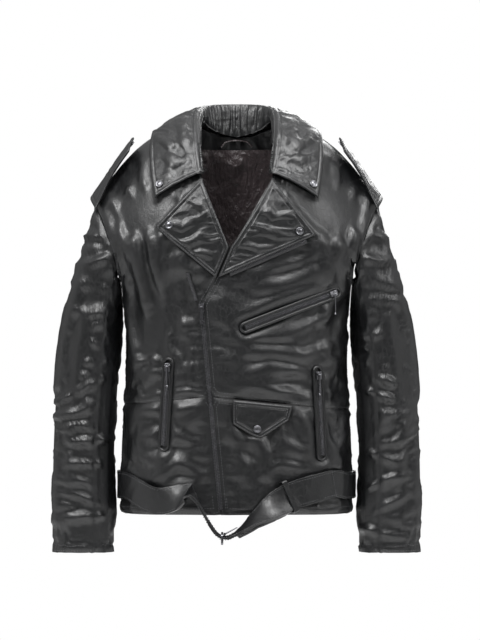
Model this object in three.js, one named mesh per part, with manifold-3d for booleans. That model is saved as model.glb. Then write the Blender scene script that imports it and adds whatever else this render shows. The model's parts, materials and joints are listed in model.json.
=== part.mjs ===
// A double-rider leather jacket hanging by the loop at its neck: leather shell, satin lining, zips,
// snaps, shoulder straps and a loosely buckled hem belt.
// Millimetres, +Z up. The front faces -Y and +X is on the right of someone looking at the front,
// and "left" and "right" in the names are that person's. The origin is the hanger loop.

import * as THREE from 'three';
import { mergeVertices } from 'three/addons/utils/BufferGeometryUtils.js';
import Module from 'manifold-3d';

const wasm = await Module();
wasm.setup();

// ---- Driving dimensions -------------------------------------------------------------------------

// Body, measured on the hanging jacket
const BODY_LENGTH = 645;          // hanger loop down to the front hem
const BACK_HEM_DROP = 14;         // the back hem hangs this much below the front hem
const CHEST_HALF_WIDTH = 193;     // at the underarm
const HEM_HALF_WIDTH = 201;
const FRONT_DEPTH = 115;          // side seam forward to the chest
const BACK_DEPTH = 106;           // side seam back to the shoulder blades
const SIDE_SEAM_Y = -75;
const BODY_ROUNDNESS = 2.5;       // 2 is an ellipse, more is squarer
const CHEST_DROP = 200;           // below the shoulder line, where the front reaches its full depth
const BLADE_DROP = 150;           // below the neck, where the back reaches its full depth

// Shoulders, neck and armholes
const SHOULDER_HALF_WIDTH = 245;
const SHOULDER_DROP = 134;        // side of the neck down to the shoulder tip
const SHOULDER_CURVE = 2.2;
const NECK_HALF_WIDTH = 72;
const SIDE_NECK_Z = 26;
const SIDE_NECK_Y = -45;
const BACK_NECK_Z = 5;
const BACK_NECK_Y = 6;
const ARMHOLE_DEPTH = 192;
const YOKE_DEPTH = 165;           // neck seam down to the yoke seam at the back
const WAIST_SEAM_DROP = 445;      // hanger loop down to the seam across the fronts, at the zip
const WAIST_SEAM_SLOPE = 0.1;     // how fast that seam falls towards the side seams

// Sleeves
const SLEEVE_LENGTH = 606;        // shoulder tip down to the cuff
const SLEEVE_SPREAD = 73;         // how far the cuff stands outside the shoulder tip
const BICEPS_DEPTH = 150;         // front to back
const CUFF_WIDTH = 109;
const CUFF_DEPTH = 74;
const CUFF_Y = -88;
const SLEEVE_CLEARANCE = 9;       // between the sleeve and the side of the body

// Collar
const COLLAR_STAND = 62;          // neck seam up to the roll at the back
const COLLAR_BACK_FALL = 76;      // roll down to the collar edge at the back
const COLLAR_POINT_X = 139;
const COLLAR_POINT_Z = -107;
const COLLAR_FRONT_X = 60;
const COLLAR_FRONT_Z = -64;

// Sheet thicknesses and clearances
const LEATHER = 2.6;
const LEAF = 4;                   // two layers of leather, turned and stitched
const SATIN = 0.8;
const SEAM_GAP = 0.8;
const RIDGE_GAP = 0.12;           // below the shoulder line, where the leather falls away fast
const LIFT = 2;                   // between a leaf, flap or strap and the leather under it
const TOUCH = 0.35;               // between pieces that rest on each other

// Zips
const CHAIN_WIDTH = 6;
const CHAIN_THICK = 2.4;
const TAPE_THICK = 0.8;
const TAPE_WIDTH = 12;            // each side of the main chain
const SLIDER_LENGTH = 13;
const SLIDER_WALL = 1.2;
const PULL_LENGTH = 30;
const SMALL_PULL_LENGTH = 36;

// Main zip: the line that the closed chain follows
const ZIP_TOP_X = -60;
const ZIP_TOP_DROP = 287;
const ZIP_HEM_X = -26;
const ZIP_HEM_MARGIN = 8;

// Belt
const BELT_WIDTH = 46;
const BELT_THICK = 4;
const BELT_CLEARANCE = 1.2;
const BELT_ABOVE_HEM = 47;        // front hem up to the middle of the belt at the side seams
const BELT_STRAIGHT = 20;         // the body runs straight down from this far above the belt
const BELT_LOOP_WALL = 2.4;

const SNAP_RADIUS = 6.5;
const LOOP_CORD = 4;

const HEM_Z = -BODY_LENGTH;
const BELT_DROP = BODY_LENGTH - BELT_ABOVE_HEM;
const SHOULDER_TIP_Z = SIDE_NECK_Z - SHOULDER_DROP;
const UNDERARM_Z = SHOULDER_TIP_Z - ARMHOLE_DEPTH;
const CUFF_Z = SHOULDER_TIP_Z - SLEEVE_LENGTH;
const FRONT = -1;
const BACK = 1;

// ---- Materials ----------------------------------------------------------------------------------

const finish = (color, roughness, metalness) =>
  new THREE.MeshStandardMaterial({ color, roughness, metalness });
const MATERIALS = {
  leather: () => finish(0x15171a, 0.45, 0),
  satin: () => finish(0x161214, 0.55, 0),
  tape: () => finish(0x121214, 0.9, 0),
  metal: () => finish(0x3a3c3f, 0.3, 1),
};

const jacket = new THREE.Group();

function addMesh(name, geometry, material) {
  const mesh = new THREE.Mesh(geometry, MATERIALS[material]());
  mesh.name = name;
  jacket.add(mesh);
  return mesh;
}

// ---- Small helpers ------------------------------------------------------------------------------

const { clamp, lerp, smoothstep } = THREE.MathUtils;
const vec = (x, y, z) => new THREE.Vector3(x, y, z);
const unit = (value, low, high) => clamp((value - low) / (high - low), 0, 1);
const polyline = (points) => {
  const path = new THREE.CurvePath();
  points.slice(1).forEach((point, i) => path.add(new THREE.LineCurve3(points[i], point)));
  return path;
};
const spline = (points) => new THREE.CatmullRomCurve3(points, false, 'centripetal');

// A closed solid between two grids of points of the same size; `ring` joins the last column to the
// first.
function solidBetween(outer, inner, ring = false) {
  const rows = outer.length;
  const columns = outer[0].length;
  const positions = [...outer.flat(), ...inner.flat()].flatMap((p) => [p.x, p.y, p.z]);
  const at = (layer, row, column) => layer * rows * columns + row * columns + (column % columns);
  const triangles = [];
  const quad = (a, b, c, d) => triangles.push(a, b, c, a, c, d);
  const quadTurned = (a, b, c, d) => triangles.push(a, c, b, a, d, c);
  const lastColumn = ring ? columns : columns - 1;
  for (let row = 0; row < rows - 1; row++) {
    for (let column = 0; column < lastColumn; column++) {
      const corners = [[row, column], [row + 1, column], [row + 1, column + 1], [row, column + 1]];
      quad(...corners.map(([r, c]) => at(0, r, c)));
      quadTurned(...corners.map(([r, c]) => at(1, r, c)));
    }
  }
  for (let column = 0; column < lastColumn; column++) {
    const last = rows - 1;
    quad(at(0, 0, column), at(0, 0, column + 1), at(1, 0, column + 1), at(1, 0, column));
    quad(at(0, last, column + 1), at(0, last, column), at(1, last, column), at(1, last, column + 1));
  }
  if (!ring) {
    const last = columns - 1;
    for (let row = 0; row < rows - 1; row++) {
      quad(at(0, row + 1, 0), at(0, row, 0), at(1, row, 0), at(1, row + 1, 0));
      quad(at(0, row, last), at(0, row + 1, last), at(1, row + 1, last), at(1, row, last));
    }
  }
  return facingOut(positions, triangles);
}

// Builds a geometry and turns its faces over when they point in.
function facingOut(positions, triangles) {
  const point = (i) => vec(...positions.slice(3 * i, 3 * i + 3));
  let volume = 0;
  for (let i = 0; i < triangles.length; i += 3) {
    const [a, b, c] = triangles.slice(i, i + 3).map(point);
    volume += a.dot(b.cross(c));
  }
  const geometry = new THREE.BufferGeometry();
  geometry.setAttribute('position', new THREE.Float32BufferAttribute(positions, 3));
  geometry.setIndex(volume < 0 ? triangles.reverse() : triangles);
  return geometry;
}

// Samples surface(u, v) on a grid and moves each point along the surface's normal.
function offsetGrid(surface, columns, rows, offset, ring = false) {
  const step = 1e-3;
  const away = (a, b, c, d) => vec().subVectors(b, a).cross(vec().subVectors(d, c)).normalize();
  return Array.from({ length: rows + 1 }, (_, row) =>
    Array.from({ length: columns + (ring ? 0 : 1) }, (_, column) => {
      const u = column / columns;
      const v = row / rows;
      const [u0, u1] = ring ? [u - step, u + step] : [Math.max(u - step, 0), Math.min(u + step, 1)];
      const [v0, v1] = [Math.max(v - step, 0), Math.min(v + step, 1)];
      const normal = away(surface(u0, v), surface(u1, v), surface(u, v0), surface(u, v1));
      return surface(u, v).addScaledVector(normal, offset);
    }));
}

// A sheet of one thickness that lies behind surface(u, v), on the side that `side` gives.
function sheet(surface, columns, rows, thickness, side, ring = false) {
  const outer = offsetGrid(surface, columns, rows, 0, ring);
  const inner = offsetGrid(surface, columns, rows, thickness * side, ring);
  return solidBetween(outer, inner, ring);
}

// A patch between four boundary curves in the plane: top and bottom run with u, left and right with v.
function patch(top, bottom, left, right) {
  return (u, v) => {
    const mix = (a, b, t) => a.clone().multiplyScalar(1 - t).addScaledVector(b, t);
    const ruled = mix(top(u), bottom(u), v).add(mix(left(v), right(v), u));
    const corners = mix(mix(top(0), top(1), u), mix(bottom(0), bottom(1), u), v);
    return ruled.sub(corners);
  };
}

const flatPoint = (x, z) => new THREE.Vector2(x, z);
function flatPath(points) {
  const path = new THREE.CurvePath();
  points.slice(1).forEach((p, i) => path.add(new THREE.LineCurve(points[i], p)));
  return (t) => path.getPointAt(clamp(t, 0, 1));
}
// The same through corners that fall at given values of t.
const markedPath = (points, marks) => (t) => {
  const next = Math.max(1, marks.findIndex((mark) => mark >= t));
  const share = unit(t, marks[next - 1], marks[next]);
  return points[next - 1].clone().lerp(points[next], share);
};

// Boolean pieces
function toSolid(geometry) {
  const bare = geometry.clone();
  bare.deleteAttribute('normal');
  bare.deleteAttribute('uv');
  const merged = mergeVertices(bare, 1e-4);
  const mesh = new wasm.Mesh({
    numProp: 3,
    vertProperties: new Float32Array(merged.attributes.position.array),
    triVerts: new Uint32Array(merged.index.array),
  });
  return new wasm.Manifold(mesh);
}

function toGeometry(solid) {
  const mesh = solid.getMesh();
  const geometry = new THREE.BufferGeometry();
  geometry.setAttribute('position', new THREE.BufferAttribute(new Float32Array(mesh.vertProperties), 3));
  geometry.setIndex(new THREE.BufferAttribute(new Uint32Array(mesh.triVerts), 1));
  return geometry;
}

const join = (...geometries) =>
  toGeometry(geometries.map(toSolid).reduce((whole, piece) => whole.add(piece)));

// A box with its middle at a point, and a flat outline extruded to both sides of its plane.
const box = (sx, sy, sz, x = 0, y = 0, z = 0) =>
  new THREE.BoxGeometry(sx, sy, sz).translate(x, y, z);
function plate(shape, thickness, curveSegments = 6) {
  const geometry = new THREE.ExtrudeGeometry(shape, {
    depth: thickness, bevelEnabled: false, curveSegments,
  });
  return geometry.translate(0, 0, -thickness / 2);
}

// A strap of rectangular section: `centres` is a curve, and across(t) is the direction of its width.
function strap(centres, across, width, thickness, steps) {
  const grids = [[], []];
  for (let i = 0; i <= steps; i++) {
    const t = i / steps;
    const middle = centres.getPointAt(t);
    const tangent = centres.getTangentAt(t);
    const side = across(t).clone();
    side.addScaledVector(tangent, -side.dot(tangent)).normalize();
    const normal = vec().crossVectors(tangent, side);
    [1, -1].forEach((face, layer) => {
      grids[layer].push([-1, 1].map((edge) => middle.clone()
        .addScaledVector(side, edge * width / 2)
        .addScaledVector(normal, face * thickness / 2)));
    });
  }
  return solidBetween(...grids);
}

// ---- The body's surface -------------------------------------------------------------------------

// The line where front and back meet at the top: the neck seam, then the shoulder.
function topLine(x, face) {
  const reach = Math.abs(x);
  if (reach >= NECK_HALF_WIDTH) {
    const t = (reach - NECK_HALF_WIDTH) / (SHOULDER_HALF_WIDTH - NECK_HALF_WIDTH);
    return {
      y: lerp(SIDE_NECK_Y, SIDE_SEAM_Y, Math.min(t, 1)),
      z: SIDE_NECK_Z - SHOULDER_DROP * t ** SHOULDER_CURVE,
    };
  }
  if (face === FRONT) return { y: SIDE_NECK_Y, z: SIDE_NECK_Z };
  const s = (reach / NECK_HALF_WIDTH) ** 2;
  return { y: lerp(BACK_NECK_Y, SIDE_NECK_Y, s), z: lerp(BACK_NECK_Z, SIDE_NECK_Z, s) };
}

// The half width that the cross-section has at a height. Above the underarm it opens into the
// armholes.
const OPEN_HALF_WIDTH = SHOULDER_HALF_WIDTH + 23;
const ARMPIT_BLEND = 150;
function closedHalfWidth(z) {
  const flare = smoothstep(-z, WAIST_SEAM_DROP - 40, BELT_DROP - BELT_WIDTH / 2 - BELT_STRAIGHT);
  return lerp(CHEST_HALF_WIDTH, HEM_HALF_WIDTH, flare);
}
function halfWidth(z) {
  const open = 1 - smoothstep(-z, -UNDERARM_Z - ARMPIT_BLEND, -UNDERARM_Z);
  return lerp(closedHalfWidth(z), OPEN_HALF_WIDTH, open);
}

const growth = (t) => (1 - (1 - clamp(t, 0, 1)) ** 2) ** 0.72;

// A point of the shell at (x, z) on the front or the back, moved out by `offset` in Y.
function skin(x, z, face, offset = 0, width = halfWidth(z)) {
  const top = topLine(x, face);
  const share = Math.min(Math.abs(x) / width, 1);
  const round = (1 - share ** BODY_ROUNDNESS) ** (1 / BODY_ROUNDNESS);
  const depth = face === FRONT ? FRONT_DEPTH : BACK_DEPTH;
  const full = SIDE_SEAM_Y + face * depth * round;
  const drop = face === FRONT ? CHEST_DROP : BLADE_DROP;
  const y = lerp(top.y, full, growth((top.z - z) / drop));
  return vec(x, y + face * offset, z);
}

// Girth coordinate: 0 at the middle, 1 at the side seam, even along the curved section.
const girthOf = (x, z) => {
  const share = Math.min(Math.abs(x) / halfWidth(z), 1);
  return Math.sign(x) * Math.asin(share ** (BODY_ROUNDNESS / 2)) / (Math.PI / 2);
};
const acrossOf = (girth, z, width = halfWidth(z)) => {
  const share = Math.sin(Math.min(Math.abs(girth), 1) * Math.PI / 2) ** (2 / BODY_ROUNDNESS);
  return Math.sign(girth) * share * width;
};
const onSkin = (p, face) => skin(acrossOf(p.x, p.y), p.y, face);
const toGirth = (curve) => (t) => {
  const p = curve(t);
  return flatPoint(girthOf(p.x, p.y), p.y);
};

// The armhole's edge at a height, and the whole armhole as a loop from the shoulder tip round the
// front to the underarm and back up.
function armholeX(z) {
  const t = unit(-z, -SHOULDER_TIP_Z, -UNDERARM_Z);
  return CHEST_HALF_WIDTH + (SHOULDER_HALF_WIDTH - CHEST_HALF_WIDTH) * (1 - t) ** 1.7;
}
const armholeZ = (t) => (SHOULDER_TIP_Z + UNDERARM_Z) / 2
  + (ARMHOLE_DEPTH / 2) * Math.cos(Math.PI * t);
function armholeLoop(side, turn) {
  const t = turn <= 0.5 ? turn * 2 : 2 - turn * 2;
  const z = armholeZ(t);
  return skin(side * armholeX(z), z, turn <= 0.5 ? FRONT : BACK);
}

// Side edge of a body panel, from a height on the armhole down the side seam.
function sideEdge(side, fromZ, toZ) {
  const inset = SEAM_GAP / 2 / 150;
  return (t) => {
    const z = lerp(fromZ, toZ, t);
    const girth = z > UNDERARM_Z ? girthOf(armholeX(z), z) : 1;
    return flatPoint(side * (girth - inset), z);
  };
}

// ---- Fronts -------------------------------------------------------------------------------------

const zipX = (z) => lerp(ZIP_TOP_X, ZIP_HEM_X, unit(-z, ZIP_TOP_DROP, BODY_LENGTH));
const ZIP_CLEAR = CHAIN_WIDTH / 2 + SLIDER_WALL + 1.6;   // chain middle to the edge of each front
const ROLL_MEET = flatPoint(-11, -192);                   // where the two roll lines meet
const ROLL_TIP = flatPoint(-33, -243);                    // where the lapels end

// The roll line of each lapel, from the collar to the lapel's tip.
const rollLine = {
  left: [flatPoint(-57, -74), flatPoint(-38, -124), ROLL_MEET, ROLL_TIP],
  right: [flatPoint(58, -74), flatPoint(43, -104), flatPoint(22, -142), ROLL_MEET, ROLL_TIP],
};
const sideSign = { left: -1, right: 1 };
const shifted = (points, dx) => points.map((p) => flatPoint(p.x + dx, p.y));

const waistZ = (x) => -WAIST_SEAM_DROP - WAIST_SEAM_SLOPE * Math.abs(x - zipX(-WAIST_SEAM_DROP));

// The waist seam of one front as a curve from the zip to the side seam.
function waistEdge(side, shift) {
  const startX = zipX(-WAIST_SEAM_DROP) + side * ZIP_CLEAR;
  const endX = side * CHEST_HALF_WIDTH;
  const start = girthOf(startX, waistZ(startX));
  const end = sideEdge(side, waistZ(endX), HEM_Z)(0).x;
  return (t) => {
    const girth = lerp(start, end, t);
    return flatPoint(girth, waistZ(acrossOf(girth, -WAIST_SEAM_DROP)) + shift);
  };
}

function frontUpper(which) {
  const side = sideSign[which];
  const neck = flatPoint(side * (NECK_HALF_WIDTH + 1), SIDE_NECK_Z - 1);
  const tip = flatPoint(side * SHOULDER_HALF_WIDTH, SHOULDER_TIP_Z);
  const shoulder = (t) => {
    const x = lerp(neck.x, tip.x, t);
    return flatPoint(girthOf(x, topLine(x, FRONT).z), topLine(x, FRONT).z - RIDGE_GAP);
  };
  const zipTop = flatPoint(ZIP_TOP_X + side * ZIP_CLEAR, -ZIP_TOP_DROP);
  const seam = waistEdge(side, SEAM_GAP / 2);
  const seamZ = seam(0).y;
  const zipBottom = flatPoint(zipX(seamZ) + side * ZIP_CLEAR, seamZ);
  const roll = shifted(rollLine[which], side * 3);
  const corners = [shoulderPoint(neck.x), roll[0], ...roll.slice(-2), zipTop, zipBottom];
  const inner = toGirth(markedPath(corners, [0, 2, 5, 6, 7, 12].map((row) => row / FRONT_ROWS)));
  const outer = sideEdge(side, SHOULDER_TIP_Z - RIDGE_GAP, waistZ(side * CHEST_HALF_WIDTH) + SEAM_GAP / 2);
  const region = patch(shoulder, seam, inner, outer);
  const surface = (u, v) => onSkin(region(u, v), FRONT);
  return sheet(surface, 8, FRONT_ROWS, LEATHER, side);
}
const FRONT_ROWS = 12;
const shoulderPoint = (x) => flatPoint(x, topLine(x, FRONT).z - RIDGE_GAP);

function frontLower(which) {
  const side = sideSign[which];
  const seam = waistEdge(side, -SEAM_GAP / 2);
  const zipEdge = (t) => {
    const z = lerp(seam(0).y, HEM_Z, t);
    return flatPoint(zipX(z) + side * ZIP_CLEAR, z);
  };
  const inner = toGirth(zipEdge);
  const outer = sideEdge(side, seam(1).y, HEM_Z);
  const hem = (t) => flatPoint(lerp(inner(1).x, outer(1).x, t), HEM_Z);
  const region = patch(seam, hem, inner, outer);
  return sheet((u, v) => onSkin(region(u, v), FRONT), 8, 5, LEATHER, side);
}

for (const which of ['left', 'right']) {
  addMesh(`front_${which}_upper`, frontUpper(which), 'leather');
  addMesh(`front_${which}_lower`, frontLower(which), 'leather');
}

// ---- Back ---------------------------------------------------------------------------------------

const YOKE_Z = BACK_NECK_Z - YOKE_DEPTH;
const backHemZ = (girth) => HEM_Z - BACK_HEM_DROP * (1 - Math.abs(girth) ** 3);

function backYoke() {
  const top = (t) => {
    const x = lerp(-SHOULDER_HALF_WIDTH, SHOULDER_HALF_WIDTH, t);
    const { z } = topLine(x, BACK);
    return flatPoint(girthOf(x, z), z - RIDGE_GAP);
  };
  const bottomZ = YOKE_Z + SEAM_GAP / 2;
  const edge = sideEdge(1, SHOULDER_TIP_Z - SEAM_GAP, bottomZ);
  const bottom = (t) => flatPoint(lerp(-1, 1, t) * edge(1).x, bottomZ);
  const region = patch(top, bottom, sideEdge(-1, SHOULDER_TIP_Z - SEAM_GAP, bottomZ), edge);
  return sheet((u, v) => onSkin(region(u, v), BACK), 18, 5, LEATHER, -1);
}

function backPanel() {
  const topZ = YOKE_Z - SEAM_GAP / 2;
  const left = sideEdge(-1, topZ, HEM_Z);
  const right = sideEdge(1, topZ, HEM_Z);
  const top = (t) => flatPoint(lerp(left(0).x, right(0).x, t), topZ);
  const bottom = (t) => {
    const girth = lerp(left(1).x, right(1).x, t);
    return flatPoint(girth, backHemZ(girth));
  };
  const region = patch(top, bottom, left, right);
  return sheet((u, v) => onSkin(region(u, v), BACK), 14, 10, LEATHER, -1);
}

addMesh('back_yoke', backYoke(), 'leather');
addMesh('back_panel', backPanel(), 'leather');

// ---- Body lining --------------------------------------------------------------------------------

// One skirt of satin inside the back, the sides and the fronts, up to the facings beside the zip.
function bodyLining() {
  const inset = LEATHER + 6.5;
  const shrink = (p) => {
    const fromMiddle = vec(p.x, p.y - SIDE_SEAM_Y, 0);
    const size = fromMiddle.length();
    return p.addScaledVector(fromMiddle, -inset / size);
  };
  const surface = (u, v) => {
    const turn = lerp(-1, 1, u);
    const wrap = Math.abs(turn) * LINING_REACH;
    const side = Math.sign(turn);
    const face = wrap > 1 ? FRONT : BACK;
    const girth = face === BACK ? wrap : 2 - wrap;
    const topZ = face === BACK ? liningTop(girth) : liningFrontTop(girth);
    const z = lerp(topZ, HEM_Z + 22, v);
    const width = closedHalfWidth(z);
    return shrink(skin(acrossOf(side * girth, z, width), z, face, 0, width));
  };
  return sheet(surface, 16, 12, SATIN, 1);
}
const LINING_REACH = 1.6;
const liningTop = (girth) => {
  const armhole = UNDERARM_Z - 6;
  return lerp(BACK_NECK_Z - 22, armhole, smoothstep(girth, 0.22, 0.98));
};
const liningFrontTop = (girth) => lerp(-215, UNDERARM_Z - 6, smoothstep(girth, 0.38, 0.98));

addMesh('body_lining', bodyLining(), 'satin');

// ---- Collar -------------------------------------------------------------------------------------

// Both leaves are lofted along the neck from the left front (0) round the back (0.5) to the right
// front (1). The stand rises from the neck seam to the roll, and the fall drops from the roll outside.
const mirrored = (points) => {
  const left = points.map((p) => vec(-p.x, p.y, p.z));
  return spline([...left, ...points.slice(0, -1).reverse()]);
};
const COLLAR_RIDE = LIFT + LEAF;
const frontPoint = (x, z, offset) => skin(x, z, FRONT, offset);
const ROLL_Z = BACK_NECK_Z + COLLAR_STAND;
const SIDE_ROLL_Z = SIDE_NECK_Z + 24;

const collarSeam = mirrored([
  frontPoint(COLLAR_FRONT_X - 1, COLLAR_FRONT_Z, COLLAR_RIDE + 1),
  frontPoint(NECK_HALF_WIDTH - 4, -24, 5),
  vec(NECK_HALF_WIDTH - 6, SIDE_NECK_Y + 3, SIDE_NECK_Z + 4),
  vec(NECK_HALF_WIDTH * 0.62, BACK_NECK_Y - 15, BACK_NECK_Z + 12),
  vec(0, BACK_NECK_Y, BACK_NECK_Z + TOUCH),
]);
const collarRoll = mirrored([
  frontPoint(COLLAR_FRONT_X, COLLAR_FRONT_Z + 1, COLLAR_RIDE + 5),
  frontPoint(NECK_HALF_WIDTH - 4, -10, 16),
  vec(NECK_HALF_WIDTH - 4, SIDE_NECK_Y - 4, SIDE_ROLL_Z),
  vec(NECK_HALF_WIDTH * 0.68, BACK_NECK_Y - 10, ROLL_Z - 3),
  vec(0, BACK_NECK_Y + 8, ROLL_Z),
]);
const collarEdge = mirrored([
  frontPoint(COLLAR_POINT_X, COLLAR_POINT_Z, COLLAR_RIDE),
  frontPoint(COLLAR_POINT_X + 9, COLLAR_POINT_Z + 52, COLLAR_RIDE + 1),
  vec(COLLAR_POINT_X + 7, SIDE_SEAM_Y + 10, SIDE_NECK_Z - 13),
  vec(COLLAR_POINT_X - 34, BACK_NECK_Y + 1, BACK_NECK_Z - 10),
  vec(0, BACK_NECK_Y + 27, ROLL_Z - COLLAR_BACK_FALL),
]);

const COLLAR_BULGE = 7;
function collarSurface(u, v) {
  const roll = collarRoll.getPoint(u);
  const edge = collarEdge.getPoint(u);
  const outward = vec(edge.x, edge.y + 60, 0).normalize();
  const rise = COLLAR_BULGE * Math.sin(Math.PI * v) * smoothstep(Math.min(u, 1 - u), 0, 0.25);
  return roll.lerp(edge, v).addScaledVector(outward, COLLAR_BULGE * Math.sin(Math.PI * v) ** 0.8)
    .add(vec(0, 0, rise));
}
const collarFall = () => sheet(collarSurface, 20, 5, LEAF, -1);

function collarStand() {
  const inwards = (p) => p.add(vec(0, SIDE_SEAM_Y - 20, 0).sub(vec(p.x, p.y, 0)).setLength(LEAF + LIFT + 1));
  const surface = (u, v) => {
    const seam = inwards(collarSeam.getPoint(u));
    const roll = inwards(collarRoll.getPoint(u)).add(vec(0, 0, -4));
    return seam.lerp(roll, v);
  };
  return sheet(surface, 20, 2, LEATHER, 1);
}

addMesh('collar_fall', collarFall(), 'leather');
addMesh('collar_stand', collarStand(), 'leather');

// ---- Lapels -------------------------------------------------------------------------------------

// Each lapel is a leaf that lies on the chest: roll line, top edge out to the point, lower edge back
// to the tip.
const LAPEL_POINT = { left: flatPoint(-138, -158), right: flatPoint(134, -171) };
const lapelRide = LIFT + LEAF;
const onLapel = (p) => skin(p.x, p.y, FRONT, lapelRide);

function lapelRegion(which) {
  const side = sideSign[which];
  const roll = shifted(rollLine[which], side * 2);
  const start = roll[0];
  const tip = roll[roll.length - 1];
  const point = LAPEL_POINT[which];
  const rollMiddle = roll[roll.length - 2];
  const upperRoll = flatPath(roll.slice(0, -1).reverse());
  return patch(
    flatPath([tip, point]),
    upperRoll,
    flatPath([tip, rollMiddle]),
    flatPath([point, start]),
  );
}

function lapel(which) {
  const region = lapelRegion(which);
  return sheet((u, v) => onLapel(region(u, v)), 8, 8, LEAF, -sideSign[which]);
}

for (const which of ['left', 'right']) addMesh(`lapel_${which}`, lapel(which), 'leather');

// ---- Sleeves ------------------------------------------------------------------------------------

const SLEEVE_ROUNDNESS = 2.3;
const superCos = (angle) => Math.sign(Math.cos(angle)) * Math.abs(Math.cos(angle)) ** (2 / SLEEVE_ROUNDNESS);
const superSin = (angle) => Math.sign(Math.sin(angle)) * Math.abs(Math.sin(angle)) ** (2 / SLEEVE_ROUNDNESS);

// A point of the sleeve: `turn` goes once round from the top edge over the front to the underarm, and
// `v` from the armhole to the cuff.
function sleevePoint(side, turn, v, inset = 0) {
  const angle = turn * 2 * Math.PI;
  const bodyWidth = Math.max(CHEST_HALF_WIDTH, HEM_HALF_WIDTH);
  const outerX = lerp(
    SHOULDER_HALF_WIDTH + SLEEVE_SPREAD * (1 - (1 - v) ** 3),
    bodyWidth + SLEEVE_CLEARANCE + CUFF_WIDTH, v ** 3);
  const innerX = lerp(CHEST_HALF_WIDTH, bodyWidth, smoothstep(v, 0.15, 0.6)) + SLEEVE_CLEARANCE;
  const outer = vec(side * (outerX - inset), 0, lerp(SHOULDER_TIP_Z, CUFF_Z, v));
  const inner = vec(side * (innerX + inset), 0, lerp(UNDERARM_Z - 4, CUFF_Z, v));
  const depth = lerp(CUFF_DEPTH, BICEPS_DEPTH, (1 - v) ** 1.1) / 2 - inset;
  const middle = outer.clone().add(inner).multiplyScalar(0.5);
  const ringPoint = middle.addScaledVector(outer.clone().sub(inner), superCos(angle) / 2);
  ringPoint.y = lerp(SIDE_SEAM_Y, CUFF_Y, v) - depth * superSin(angle);
  const fromBody = 1 - smoothstep(v, 0, 0.22);
  const hole = armholeLoop(side, turn - Math.floor(turn));
  hole.x += side * (SEAM_GAP + LEATHER + 0.8);
  hole.z -= 1.5;
  return ringPoint.lerp(hole, fromBody);
}

function sleeveHalf(side, fromTurn, toTurn, columns) {
  const gap = SEAM_GAP / 400;
  const surface = (u, v) => sleevePoint(side, lerp(fromTurn + gap, toTurn - gap, u), v);
  return sheet(surface, columns, 12, LEATHER, -side);
}

// The outer half covers the top and the front to the forearm seam; the under half faces the body.
const UNDER_FROM = 0.3;
const UNDER_TO = 0.7;
for (const which of ['left', 'right']) {
  const side = sideSign[which];
  addMesh(`sleeve_${which}_outer`, sleeveHalf(side, UNDER_TO - 1, UNDER_FROM, 9), 'leather');
  addMesh(`sleeve_${which}_under`, sleeveHalf(side, UNDER_FROM, UNDER_TO, 6), 'leather');
}

function sleeveLining(side) {
  const inset = LEATHER + 1.8;
  const surface = (u, v) => sleevePoint(side, u, lerp(0.24, 0.965, v), inset);
  return sheet(surface, 10, 6, SATIN, -side, true);
}
for (const which of ['left', 'right']) {
  addMesh(`sleeve_${which}_lining`, sleeveLining(sideSign[which]), 'satin');
}

// ---- Placing small pieces -----------------------------------------------------------------------

// Small pieces are shaped in a frame of their own: X to the right along the surface, Z up along it
// and -Y straight out of it.
function frameAt(origin, right, up) {
  const z = up.clone().normalize();
  const y = vec().crossVectors(z, right).normalize();
  const x = vec().crossVectors(y, z);
  return new THREE.Matrix4().makeBasis(x, y, z).setPosition(origin);
}

function skinFrame(x, z, offset, tilt = 0) {
  const step = 4;
  const right = skin(x + step, z, FRONT).sub(skin(x - step, z, FRONT));
  const up = skin(x, z + step, FRONT).sub(skin(x, z - step, FRONT));
  const frame = frameAt(skin(x, z, FRONT), right, up);
  return frame.multiply(new THREE.Matrix4().makeRotationY(tilt))
    .multiply(new THREE.Matrix4().makeTranslation(0, -offset, 0));
}

// ---- Snaps --------------------------------------------------------------------------------------

function snapCap() {
  const r = SNAP_RADIUS;
  const profile = [[0, 0], [r, 0], [r, 0.9], [r * 0.8, 2.3], [r * 0.55, 1.5], [0, 2.1]];
  const cap = new THREE.LatheGeometry(profile.map(([x, y]) => flatPoint(x, y)), 12);
  return cap.rotateX(Math.PI);
}
const LEAF_TOP = LIFT + LEAF + TOUCH;
function addSnap(name, frame) {
  addMesh(name, snapCap().applyMatrix4(frame), 'metal');
}
addSnap('lapel_left_snap', skinFrame(LAPEL_POINT.left.x + 25, LAPEL_POINT.left.y + 3, LEAF_TOP + 0.8));
addSnap('lapel_right_snap', skinFrame(LAPEL_POINT.right.x - 28, LAPEL_POINT.right.y + 6, LEAF_TOP + 0.8));

// The collar's snaps sit near its points, square to the leaf.
for (const which of ['left', 'right']) {
  const side = sideSign[which];
  const u = which === 'left' ? 0.035 : 0.965;
  const v = 0.82;
  const at = collarSurface(u, v);
  const right = collarSurface(u, v + 0.05).sub(collarSurface(u, v - 0.05)).multiplyScalar(side);
  const up = collarSurface(u + side * -0.02, v).sub(collarSurface(u + side * 0.02, v));
  const frame = frameAt(at, right, up).multiply(new THREE.Matrix4().makeTranslation(0, -TOUCH - 0.5, 0));
  addSnap(`collar_${which}_snap`, frame);
}

// ---- Zip parts ----------------------------------------------------------------------------------

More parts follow.
